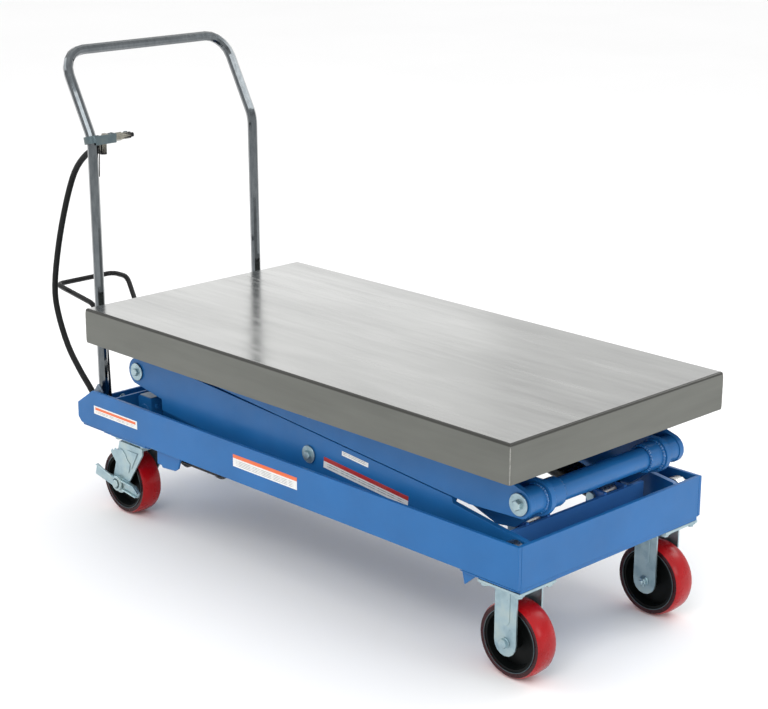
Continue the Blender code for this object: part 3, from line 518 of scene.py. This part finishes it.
def skin(bm, rings, closed=False):
    """Quads between each ring of corners and the next, and from the last to the first if closed."""
    for a, b in zip(rings, rings[1:] + rings[:1] if closed else rings[1:]):
        count = len(a)
        for k in range(count):
            nxt = (k + 1) % count
            bm.faces.new((a[k], a[nxt], b[nxt], b[k]))


def lathe(bm, profile, matrix, sides=32, squeeze=None):
    """Closed solid of revolution about local Z from (radius, height) points."""
    rings = []
    for radius, height in profile:
        ring = []
        for k in range(sides):
            turn = 2 * math.pi * k / sides
            r = radius * (squeeze(k) if squeeze else 1.0)
            ring.append(bm.verts.new(matrix @ Vector((r * math.cos(turn), r * math.sin(turn), height))))
        rings.append(ring)
    skin(bm, rings, True)
    return bm


def disc(bm, radius, thick, matrix, hole=0.0):
    """Washer, or a disc with a tiny hole, from its base face outwards."""
    inner, chamfer = max(hole, 0.0002), 0.0006
    profile = [
        (inner, 0.0), (radius, 0.0), (radius, thick - chamfer), (radius - chamfer, thick),
        (inner + chamfer * 0.3, thick),
    ]
    return lathe(bm, profile, matrix, 36)


def pin_profile(radius, low, high, chamfer):
    """Profile of a solid pin along local Z with eased ends."""
    return [
        (CORE, low), (radius - chamfer, low), (radius, low + chamfer), (radius, high - chamfer),
        (radius - chamfer, high), (CORE, high),
    ]


def hexagon(bm, across, thick, matrix, turn):
    """Hexagon head with a chamfered top and a closed base."""
    corner = across / math.sqrt(3)
    spin = matrix @ Matrix.Rotation(turn, 4, "Z")
    profile = [(CORE, 0.0), (corner, 0.0), (corner, thick * 0.80), (corner * 0.86, thick), (CORE, thick)]
    return lathe(bm, profile, spin, 6)


def dome_bolt(name, centre, axis, across, body, material=None, washer=0.0, shank=0.0, turn=0.3):
    """Hex bolt head on its washer, with an optional thread end."""
    bm = bmesh.new()
    out = Vector(axis).normalized()
    thick = 0.0022 if washer else 0.0
    if washer:
        disc(bm, washer, thick, aligned(centre, axis), across * 0.35)
    hexagon(bm, across, across * 0.42, aligned(Vector(centre) + out * thick * 0.9, axis), turn)
    if shank:
        top = aligned(Vector(centre) + out * (thick + across * 0.40), axis)
        grooves = []
        for k in range(5):
            low = shank * k / 5
            grooves += [(across * 0.27, low), (across * 0.24, low + shank * 0.1)]
        lathe(bm, [(CORE, 0.0), *grooves, (across * 0.22, shank), (CORE, shank)], top, 16)
    return piece_of(name, bm, material or STEEL, body, True)


def box(bm, low, high):
    size = [b - a for a, b in zip(low, high)]
    middle = [(a + b) / 2 for a, b in zip(low, high)]
    place = Matrix.Translation(middle) @ Matrix.Diagonal((*size, 1.0))
    bmesh.ops.create_cube(bm, size=1.0, matrix=place)
    return bm


def eased_box(name, low, high, material, body, ease):
    bm = box(bmesh.new(), low, high)
    bmesh.ops.bevel(bm, geom=bm.edges[:], offset=ease, segments=2, profile=0.5, affect="EDGES")
    return piece_of(name, bm, material, body)


def plate(name, outline, thick, matrix, material, body, ease):
    """Flat plate: an outline in local XY, thickened upwards along local Z, with eased rims."""
    bm = bmesh.new()
    low = [bm.verts.new(matrix @ Vector((x, y, 0.0))) for x, y in outline]
    high = [bm.verts.new(matrix @ Vector((x, y, thick))) for x, y in outline]
    bm.faces.new(low)
    bm.faces.new(high)
    skin(bm, [low, high])
    bmesh.ops.recalc_face_normals(bm, faces=bm.faces)
    rim = [e for e in bm.edges if (e.verts[0] in high) == (e.verts[1] in high)]
    bmesh.ops.bevel(bm, geom=rim, offset=ease, segments=1, profile=0.5, affect="EDGES")
    return piece_of(name, bm, material, body)


def weld_bead(name, centre, axis, radius, bead, body, material):
    """Ripples of a weld round a tube."""
    bm = bmesh.new()
    matrix = aligned(centre, axis)
    steps, sides = 96, 8
    rings = []
    for k in range(steps):
        turn = 2 * math.pi * k / steps
        ripple = 1.0 + 0.16 * math.sin(turn * 34) + 0.08 * math.sin(turn * 11 + 1.0)
        ring = []
        for j in range(sides):
            round_turn = 2 * math.pi * j / sides
            r = radius + bead * ripple * math.cos(round_turn)
            h = bead * ripple * math.sin(round_turn)
            ring.append(bm.verts.new(matrix @ Vector((r * math.cos(turn), r * math.sin(turn), h))))
        rings.append(ring)
    skin(bm, rings, True)
    return piece_of(name, bm, material, body, True)


def weld_line(name, start, end, bead, body, material):
    """Straight rippled weld between two points, thinner at its ends."""
    bm = bmesh.new()
    a, b = Vector(start), Vector(end)
    matrix = aligned(a, b - a)
    length = (b - a).length
    steps = max(8, int(length / bead))
    sides = [(math.cos(j * math.pi / 4), math.sin(j * math.pi / 4)) for j in range(8)]
    rings = []
    for k in range(steps + 1):
        share = k / steps
        taper = min(1.0, 8 * share + 0.3, 8 * (1 - share) + 0.3)
        r = bead * taper * (1.0 + 0.15 * math.sin(k * 1.9))
        rings.append([bm.verts.new(matrix @ Vector((r * x, r * y, share * length))) for x, y in sides])
    skin(bm, rings)
    bm.faces.new(rings[0])
    bm.faces.new(rings[-1])
    return piece_of(name, bm, material, body, True)


def tube_curve(name, kind, points, radius, resolution, material):
    """Round bar or tube along points, as a curve of the given spline kind."""
    data = bpy.data.curves.new(name, "CURVE")
    data.dimensions = "3D"
    data.bevel_depth = radius
    data.bevel_resolution = resolution
    data.use_fill_caps = True
    data.materials.append(material)
    spline = data.splines.new(kind)
    spline.points.add(len(points) - 1)
    for target, point in zip(spline.points, points):
        target.co = (*point, 1.0)
    made = bpy.data.objects.new(name, data)
    bpy.context.scene.collection.objects.link(made)
    return made


# Air hose -------------------------------------------------------------------------------------
HOSE_DIAMETER = 0.0136
HOSE_ROUTE = [
    (-0.689, -0.200, 0.812), (-0.701, -0.200, 0.812), (-0.741, -0.200, 0.793), (-0.784, -0.201, 0.749),
    (-0.816, -0.206, 0.672), (-0.838, -0.215, 0.576), (-0.852, -0.220, 0.481), (-0.842, -0.222, 0.420),
    (-0.806, -0.224, 0.350), (-0.760, -0.226, 0.301), (-0.716, -0.229, 0.266), (-0.695, -0.230, 0.238),
    (-0.694, -0.230, 0.203),
]


def smooth_points(route, steps):
    """Catmull-Rom points through the route."""
    points = [Vector(p) for p in route]
    ends = [2 * points[0] - points[1], *points, 2 * points[-1] - points[-2]]
    made = []
    for k in range(len(points) - 1):
        a, b, c, d = ends[k:k + 4]
        for step in range(steps):
            t = step / steps
            square = (2 * a - 5 * b + 4 * c - d) * t**2
            cube = (3 * b - a - 3 * c + d) * t**3
            made.append(0.5 * (2 * b + (c - a) * t + square + cube))
    made.append(points[-1])
    return made


def make_hose():
    line = [p + Vector((DECK_X, 0, 0)) for p in smooth_points(HOSE_ROUTE, 4)]
    hose = tube_curve("hose", "POLY", line, HOSE_DIAMETER / 2, 6, HOSE)
    hose.data.splines[0].use_smooth = True
    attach(hose, "base")
    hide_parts("air_hose")
    return line[0]


HOSE_START = make_hose()


# Deck cover -----------------------------------------------------------------------------------
def deck_details():
    """Brushed top, painted shade on the skirts and bends of the cover (darker copies of its stainless), and
    the welds at its corners.
    """
    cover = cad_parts["deck_cover"]
    cover.data.materials.clear()
    for material in (DECK, SHADED_SKIRT, SHADED_BEND):
        cover.data.materials.append(material)
    # The face's tilt picks the copy: the top gets the lit stainless, and the bends and skirts get the darker
    # painted shade.
    for face in cover.data.polygons:
        up = face.normal.z
        face.material_index = 0 if up > 0.99 else 2 if up > 0.2 else 1
    soften(cover, 0.0, 40.0)
    flat = cover.modifiers.new("flat", "WEIGHTED_NORMAL")
    flat.keep_sharp = True
    inset = 0.0016
    for name, sx, sy in (("a", 1, -1), ("b", 1, 1), ("c", -1, -1), ("d", -1, 1)):
        x, y = sx * (DECK_HALF[0] - inset), sy * (DECK_HALF[1] - inset)
        low, high = at(x, y, SKIRT_BOTTOM + 0.001), at(x, y, DECK_TOP - 0.006)
        weld_line(f"deck_corner_weld_{name}", low, high, 0.0013, "platform", SEAM)


deck_details()


# Knuckles, pins and welds -----------------------------------------------------------------------
KNUCKLE_WELDS = (
    ("outer", 0.1765, 0.0262, 0.0030),
    ("inner", 0.1600, 0.0285, 0.0032),
    ("collar", 0.1268, 0.0245, 0.0034),
)


def leg_hardware():
    """Bolts on the legs' pivots, welds round the knuckle tube, and the ends of the pivot blocks."""
    for side, sign in SIDES:
        out = (0, sign, 0)
        pin = sign * 0.2252
        for name, x, z, across, body, washer, turn in (
            ("right_knuckle", RIGHT_X, KNUCKLE_Z, 0.0185, "lower_inner_legs", 0.0215, 0.55),
            ("left_knuckle", LEFT_X, KNUCKLE_Z, 0.0150, "lower_outer_legs", 0.0195, 0.1),
            ("centre", MIDDLE_X, (LOW_Z + KNUCKLE_Z) / 2, 0.0150, "lower_inner_legs", 0.0180, 0.9),
            ("upper_centre", MIDDLE_X, (KNUCKLE_Z + HIGH_Z) / 2, 0.0150, "upper_outer_legs", 0.0180, 0.4),
        ):
            dome_bolt(f"{name}_bolt_{side}", (x, pin, z), out, across, body, ZINC, washer, turn=turn)
        for name, y, radius, bead in KNUCKLE_WELDS:
            weld_bead(f"knuckle_weld_{name}_{side}", (RIGHT_X, sign * y, KNUCKLE_Z), out, radius, bead,
                      "lower_inner_legs", WELD_BLUE)
        low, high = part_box(f"pivot_block_{side}")
        dome_bolt(f"pivot_block_bolt_{side}", (high.x, sign * 0.191, 0.262), (1, 0, 0), 0.011, "base", BLUE)
        block_end = Vector((LEFT_X, low.y if sign < 0 else high.y, LOW_Z))
        plug = disc(bmesh.new(), 0.0160, 0.0016, aligned(block_end, out))
        piece_of(f"pivot_block_plug_{side}", plug, BLUE, "base", True)
        eased_box(f"pivot_block_cap_{side}", (low.x + 0.003, low.y + 0.002, high.z),
                  (high.x - 0.003, high.y - 0.002, high.z + 0.0012), BARE, "base", 0.0004)


leg_hardware()


def cylinder_pins():
    """Pins of the cylinders: a disc and a black cap on each foot pin, the head pins, and bright feet."""
    for side, sign in SIDES:
        foot = at(CYLINDER_FOOT[0], sign * CYLINDER_Y, CYLINDER_FOOT[1])
        head = at(CYLINDER_HEAD[0], sign * CYLINDER_Y, CYLINDER_HEAD[1])
        cap_end = 0.0445 if side == "far" else 0.0540
        for kind, low, high, radius, material in (
            ("disc", -0.0420, -0.0350, 0.0105, ZINC),
            ("cap", 0.0350, cap_end, 0.0135, BLACK),
        ):
            bm = lathe(bmesh.new(), pin_profile(radius, low, high, 0.001), aligned(foot, (0, 1, 0)), 24)
            piece_of(f"cylinder_pin_{kind}_{side}", bm, material, "base", True)
        profile = [(CORE, -0.0400), (0.0105, -0.0400), (0.0105, -0.0350), (0.0090, -0.0345),
                   (0.0090, 0.0345), (0.0105, 0.0350), (0.0105, 0.0400), (CORE, 0.0400)]
        pin = lathe(bmesh.new(), profile, aligned(head, (0, 1, 0)), 24)
        piece_of(f"cylinder_head_pin_{side}", pin, STEEL, "lower_inner_legs", True)
        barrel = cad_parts[f"cylinder_barrel_{side}"]
        barrel.data.materials.append(STEEL)
        for face in barrel.data.polygons:
            middle = barrel.matrix_world @ face.center
            face.material_index = 1 if (middle - foot).length < 0.034 else 0


cylinder_pins()


# Handle feet, clamp and fittings ---------------------------------------------------------------
def handle_details():
    """Gusset, foot weld and tray bolt at each leg of the push handle."""
    gusset = [(-0.688, 0.258), (-0.640, 0.258), (-0.643, 0.281), (-0.654, 0.297), (-0.659, 0.296)]
    for side, sign in SIDES:
        foot = at(HANDLE_FOOT[0], sign * HANDLE_Y, HANDLE_FOOT[1])
        place = upright(DECK_X, sign * 0.250 - 0.002)
        plate(f"handle_gusset_{side}", gusset, 0.004, place, BARE, "base", 0.0005)
        weld_bead(f"handle_foot_weld_{side}", foot, (0, 0, 1), 0.0118, 0.0018, "base", BLUE)
        bolt = at(-0.7075, sign * 0.150, 0.232)
        dome_bolt(f"handle_bolt_{side}", bolt, (1, 0, 0), 0.010, "base", ZINC, 0.008)


def inlet_details():
    """Dark ends on the air inlet, and its knurled sleeve, collar, nut and hose ferrule."""
    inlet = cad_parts["air_inlet"]
    low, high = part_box("air_inlet")
    inlet.data.materials.append(BLACK)
    for face in inlet.data.polygons:
        middle = inlet.matrix_world @ face.center
        face.material_index = 1 if middle.y > high.y - 0.022 or middle.z < low.z + 0.018 else 0
    profile = [(0.0069, 0.0), (0.0092, 0.0), (0.0092, 0.004), (0.0084, 0.005), (0.0092, 0.006),
               (0.0092, 0.010), (0.0084, 0.011), (0.0090, 0.012), (0.0086, 0.017), (0.0069, 0.017)]
    start = HOSE_START + Vector((0.0005, 0, 0))
    ferrule = lathe(bmesh.new(), profile, aligned(start, (-1, 0, 0)), 28)
    piece_of("hose_ferrule", ferrule, BLACK, "base", True)
    for name, y, radius, width, sides in (
        ("sleeve", low.y + 0.030, 0.0098, 0.011, 40),
        ("collar", high.y - 0.016, 0.0086, 0.005, 32),
        ("nut", low.y + 0.016, 0.0115, 0.008, 6),
    ):
        centre = at(INLET[0], y, INLET[1])
        squeeze = (lambda k: 1.0 if k % 2 else 0.955) if name == "sleeve" else None
        profile = [(0.0052, -width / 2), (radius, -width / 2), (radius, width / 2), (0.0052, width / 2)]
        ring = lathe(bmesh.new(), profile, aligned(centre, (0, 1, 0)), sides, squeeze)
        piece_of(f"inlet_{name}", ring, BRASS if name == "nut" else CLAMP, "base", name != "nut")


def clamp_cord():
    """Thin retaining cord that hangs from the clamp beside the handle leg."""
    points = [at(-0.6700, -0.2140, 0.828), at(-0.6706, -0.2138, 0.800), at(-0.6722, -0.2140, 0.778),
              at(-0.6733, -0.2142, 0.757)]
    cord = tube_curve("clamp_cord", "NURBS", points, 0.0011, 5, HOSE)
    cord.data.resolution_u = 6
    cord.data.splines[0].order_u = 4
    cord.data.splines[0].use_endpoint_u = True
    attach(cord, "base")


handle_details()
inlet_details()
clamp_cord()


# Base details ---------------------------------------------------------------------------------
def base_details():
    """Brackets and gussets that hang under the base, and the welds at its corners."""
    bracket = [(-0.4435, 0.203), (-0.362, 0.203), (-0.3725, 0.172), (-0.3835, 0.1645), (-0.427, 0.161),
               (-0.4295, 0.166), (-0.4445, 0.166)]
    plate("pump_bracket", bracket, 0.006, upright(DECK_X, -0.257), BLUE, "base", 0.0012)
    gusset = [(0.462, 0.203), (0.498, 0.203), (0.498, 0.195), (0.470, 0.171)]
    for side, sign in SIDES:
        place = upright(DECK_X, sign * 0.259 - 0.003)
        plate(f"flange_gusset_{side}", gusset, 0.006, place, BLUE, "base", 0.0008)
        corner, flange = sign * CORNER_Y, sign * 0.2655
        for name, start, end, bead in (
            ("corner", at(0.5975, corner, 0.203), at(0.5975, corner, 0.283), 0.0022),
            ("tray", at(-0.7085, corner, 0.203), at(-0.7085, corner, 0.243), 0.0020),
            ("flange", at(0.462, flange, 0.1985), at(0.603, flange, 0.1985), 0.0020),
        ):
            weld_line(f"{name}_weld_{side}", start, end, bead, "base", BLUE)


def pump_details():
    """Air motor, drum and reservoir of the pump, and the rail that carries them."""
    for name, x, y, z, radius, length, axis in (
        ("motor", -0.382, -0.232, 0.192, 0.025, 0.060, (0, 1, 0)),
        ("drum", -0.292, -0.215, 0.198, 0.038, 0.060, (0, 1, 0)),
        ("reservoir", -0.300, -0.060, 0.232, 0.030, 0.150, (1, 0, 0)),
    ):
        end, waist = radius * 0.86, radius * 0.95
        profile = [(0.0004, 0.0), (end, 0.0), (radius, 0.004), (radius, length * 0.46),
                   (waist, length * 0.48), (waist, length * 0.52), (radius, length * 0.54),
                   (radius, length - 0.004), (end, length), (0.0004, length)]
        bm = lathe(bmesh.new(), profile, aligned(at(x, y, z), axis), 40)
        piece_of(f"pump_{name}", bm, BLACK, "base", True)
    eased_box("pump_rail", at(-0.400, -0.236, 0.176), at(-0.262, -0.222, 0.200), BLACK, "base", 0.004)


base_details()
pump_details()


# Labels ---------------------------------------------------------------------------------------
def labels():
    """Plain printed films: bands and ruled lines only."""
    white = (0.0, WHITE_INK)
    tray_bands = [white, (0.52, ORANGE_INK), (0.84, WHITE_INK)]
    tray = label_film("label_tray_film", tray_bands, (0.10, 0.44, 6.0), 0.035)
    panel = label_film("label_side_film", [white, (0.70, ORANGE_INK)], (0.08, 0.64, 8.0))
    leg = label_film("label_leg_film", [white, (0.62, RED_INK)], (0.10, 0.56, 5.0))
    small = label_film("label_small_film", [white, (0.9, WHITE_INK)], (0.15, 0.85, 3.0))
    thick, face_gap = 0.0006, 0.0004
    y = -(SIDE_FACE_Y + face_gap)
    eased_box("label_tray", at(-0.653, y, 0.233), at(-0.497, y + thick, 0.2515), tray, "base", 0.0001)
    eased_box("label_side", at(-0.1755, y, 0.234), at(0.020, y + thick, 0.260), panel, "base", 0.0001)
    for name, x, z, width, height, film in (
        ("label_leg", 0.168, 0.2803, 0.236, 0.0225, leg),
        ("label_small", 0.140, 0.3190, 0.074, 0.0092, small),
    ):
        corner = Vector((width, thick, height)) / 2
        place = Matrix.Translation(at(x, -(LEG_FACE_Y + face_gap), z)) @ Matrix.Rotation(LEG_TILT, 4, "Y")
        piece_of(name, box(bmesh.new(), -corner, corner), film, "lower_outer_legs", place=place)


labels()


# Casters --------------------------------------------------------------------------------------
BRAKE_PLATE = (
    (-0.634, 0.143), (-0.629, 0.150), (-0.622, 0.148), (-0.618, 0.155), (-0.604, 0.153), (-0.600, 0.158),
    (-0.590, 0.156), (-0.580, 0.147), (-0.5746, 0.137), (-0.563, 0.129), (-0.570, 0.107), (-0.602, 0.107),
    (-0.6226, 0.130),
)
FORK_EMBOSS = ((-0.573, 0.160), (-0.536, 0.160), (-0.560, 0.118), (-0.562, 0.133), (-0.572, 0.140))
LEVER_STRIPS = {
    "toe": ((-0.078, 0.0255), (-0.074, 0.0265), (-0.020, 0.0150), (-0.016, 0.0110), (-0.019, 0.0105)),
    "heel": (
        (0.016, 0.0105), (0.060, 0.0080), (0.075, -0.0050), (0.0735, -0.0075), (0.058, 0.0050),
        (0.017, 0.0075),
    ),
    "hem": ((0.018, -0.0110), (0.066, -0.0175), (0.067, -0.0150), (0.020, -0.0085)),
}
BRAKE_BOSS = ((0.0118, 0.0), (0.0170, 0.0), (0.0170, 0.0042), (0.0155, 0.0054), (0.0118, 0.0054))
SWIVEL_RACE = (
    (0.012, 0.1795), (0.0340, 0.1795), (0.0368, 0.1820), (0.0368, 0.1850), (0.0345, 0.1875),
    (0.012, 0.1875),
)
HUB_SEAL = ((0.0070, 0.0), (0.0150, 0.0), (0.0150, 0.0006), (0.0142, 0.0012), (0.0070, 0.0012))
HUB_RIM = ((0.0605, 0.0), (0.0622, 0.0), (0.0620, 0.0012), (0.0608, 0.0012))


def outward(y, sign, thick):
    """The lower y of a layer of this thickness that lies on a face and reaches outwards."""
    return y if sign > 0 else y - thick


def axle_nuts(side, sign):
    """Nut on each end of both axles; the swivel wheel's outer nut sits on its brake lever."""
    for wheel, x, body in (("rigid", RIGID_X, "base"), ("swivel", SWIVEL_X, f"fork_{side}")):
        for end in (-1, 1):
            where, shank = ("out", 0.0) if end == sign else ("in", 0.004)
            reach = LEVER_FACE if wheel == "swivel" and end == sign else 0.0365
            nut = at(x, sign * WHEEL_Y + end * reach, WHEEL_Z)
            dome_bolt(f"{wheel}_axle_nut_{side}_{where}", nut, (0, end, 0), 0.0170, body, ZINC, 0.0112, shank,
                      0.2 + 0.3 * end)


def fork_ribs(side, sign):
    """Pressed ribs on both faces of the rigid fork."""
    radius, thick = 0.0105, 0.0014
    turns = (math.radians(a) for a in range(180, 361, 18))
    rib = [(radius * math.cos(turn), 0.121 + radius * math.sin(turn)) for turn in turns]
    rib += [(radius, 0.181), (-radius, 0.181)]
    for end in (-1, 1):
        where = "out" if end == sign else "in"
        place = upright(RIGID_X + DECK_X, outward(sign * WHEEL_Y + end * FORK_FACE, end, thick))
        plate(f"rigid_fork_rib_{side}_{where}", rib, thick, place, ZINC, "base", 0.0007)


def brake_details(side, sign):
    """Stop plate and pressed field on the swivel fork, and the boss and folds of the brake lever."""
    fork, brake = f"fork_{side}", f"brake_{side}"
    place = upright(DECK_X, outward(sign * WHEEL_Y + sign * FORK_FACE, sign, 0.0016))
    plate(f"brake_plate_{side}", BRAKE_PLATE, 0.0016, place, ZINC, fork, 0.0006)
    plate(f"fork_emboss_{side}", FORK_EMBOSS, 0.0012, place, ZINC, fork, 0.0005)
    face = sign * WHEEL_Y + sign * LEVER_FACE
    boss = lathe(bmesh.new(), BRAKE_BOSS, aligned(at(SWIVEL_X, face, WHEEL_Z), (0, sign, 0)), 36)
    piece_of(f"brake_boss_{side}", boss, ZINC, brake, True)
    depth = 0.0050
    place = upright(SWIVEL_X + DECK_X, outward(face, sign, depth), WHEEL_Z)
    for name, strip in LEVER_STRIPS.items():
        plate(f"brake_{name}_{side}", strip, depth, place, ZINC, brake, 0.0006)


def plate_hardware(side, sign):
    """Bolts under the caster plates, and the ball race of the swivel."""
    down = (0, 0, -1)
    for k, (dx, dy) in enumerate(((-0.040, -0.040), (0.042, -0.040), (0.042, 0.040), (-0.040, 0.040))):
        place = at(RIGID_X + dx, sign * (WHEEL_Y + 0.008) + dy, 0.1875)
        dome_bolt(f"rigid_plate_bolt_{side}_{k}", place, down, 0.013, "base", ZINC, 0.0105, turn=k)
    low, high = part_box(f"swivel_plate_{side}")
    edge = 0.012
    left, right, near, far = low.x + edge, high.x - edge, low.y + edge, high.y - edge
    for k, (x, y) in enumerate(((left, near), (right, near), (right, far), (left, far))):
        place = (x, y, 0.188)
        dome_bolt(f"swivel_plate_bolt_{side}_{k}", place, down, 0.013, "base", ZINC, 0.0105, turn=k * 0.7)
    race = lathe(bmesh.new(), SWIVEL_RACE, Matrix.Translation(at(SWIVEL_AXIS_X, sign * WHEEL_Y, 0)), 44)
    piece_of(f"swivel_race_{side}", race, ZINC, f"fork_{side}", True)


def hub_rings(side, sign):
    """Bearing seal and bright rim on both faces of each hub."""
    for wheel, x in (("rigid", RIGID_X), ("swivel", SWIVEL_X)):
        for end in (-1, 1):
            where = "out" if end == sign else "in"
            for name, profile, reach, sides, material in (
                ("seal", HUB_SEAL, 0.0301, 32, STEEL),
                ("rim", HUB_RIM, 0.0249, 64, CLAMP),
            ):
                centre = at(x, sign * WHEEL_Y + end * reach, WHEEL_Z)
                ring = lathe(bmesh.new(), profile, aligned(centre, (0, end, 0)), sides)
                piece_of(f"{wheel}_{name}_{side}_{where}", ring, material, f"{wheel}_wheel_{side}", True)


for which, outer in SIDES:
    axle_nuts(which, outer)
    fork_ribs(which, outer)
    brake_details(which, outer)
    plate_hardware(which, outer)
    hub_rings(which, outer)


# Stage ----------------------------------------------------------------------------------------
def make_floor():
    floor = Paint("floor_paper", (0.93, 0.93, 0.93), 0.8)
    floor.mottle(0.01, 0.8)
    bm = bmesh.new()
    bmesh.ops.create_grid(bm, x_segments=2, y_segments=2, size=60.0)
    mesh = bpy.data.meshes.new("floor")
    bm.to_mesh(mesh)
    bm.free()
    mesh.materials.append(floor.material)
    ground = bpy.data.objects.new("floor", mesh)
    ground.location = (0, 0, -0.0005)
    bpy.context.scene.collection.objects.link(ground)


def make_light():
    """World that is darkest just above the horizon, and five soft area lights."""
    world = bpy.data.worlds.new("studio")
    bpy.context.scene.world = world
    world.use_nodes = True
    nodes, links = world.node_tree.nodes, world.node_tree.links
    coords = nodes.new("ShaderNodeTexCoord")
    split = nodes.new("ShaderNodeSeparateXYZ")
    ramp = nodes.new("ShaderNodeValToRGB")
    links.new(coords.outputs["Generated"], split.inputs["Vector"])
    links.new(split.outputs["Z"], ramp.inputs["Fac"])
    links.new(ramp.outputs["Color"], nodes["Background"].inputs["Color"])
    elements = ramp.color_ramp.elements
    elements[0].position, elements[0].color = 0.0, (0.66, 0.66, 0.66, 1)
    elements[1].position, elements[1].color = 0.9, (0.86, 0.86, 0.86, 1)
    for position, grey in ((0.16, 0.66), (0.25, 0.55), (0.32, 0.40), (0.55, 0.60)):
        step = elements.new(position)
        step.color = (grey, grey, grey, 1)
    nodes["Background"].inputs["Strength"].default_value = 1.5
    for name, place, aim, size, power in (
        ("key", (2.2, -3.6, 3.4), (0, 0, 0.3), (2.6, 2.0), 65),
        ("fill", (-3.4, -2.2, 2.4), (0, 0, 0.4), (2.4, 1.8), 25),
        ("rim", (0.8, 3.6, 3.0), (0, 0, 0.5), (3.0, 1.4), 45),
        ("end", (4.2, 0.6, 1.8), (0, 0, 0.3), (1.6, 1.6), 22),
        ("deck_sheen", (-4.2, 2.9, 1.7), (-0.3, 0, 0.5), (3.0, 1.6), 4),
    ):
        data = bpy.data.lights.new(name, "AREA")
        data.shape = "RECTANGLE"
        data.size, data.size_y = size
        data.energy = power
        lamp = bpy.data.objects.new(name, data)
        lamp.matrix_world = aimed(place, Vector(aim) - Vector(place))
        bpy.context.scene.collection.objects.link(lamp)
    view = bpy.context.scene.view_settings
    view.view_transform = "Standard"
    view.look = "None"


make_floor()
make_light()

bpy.context.view_layer.update()
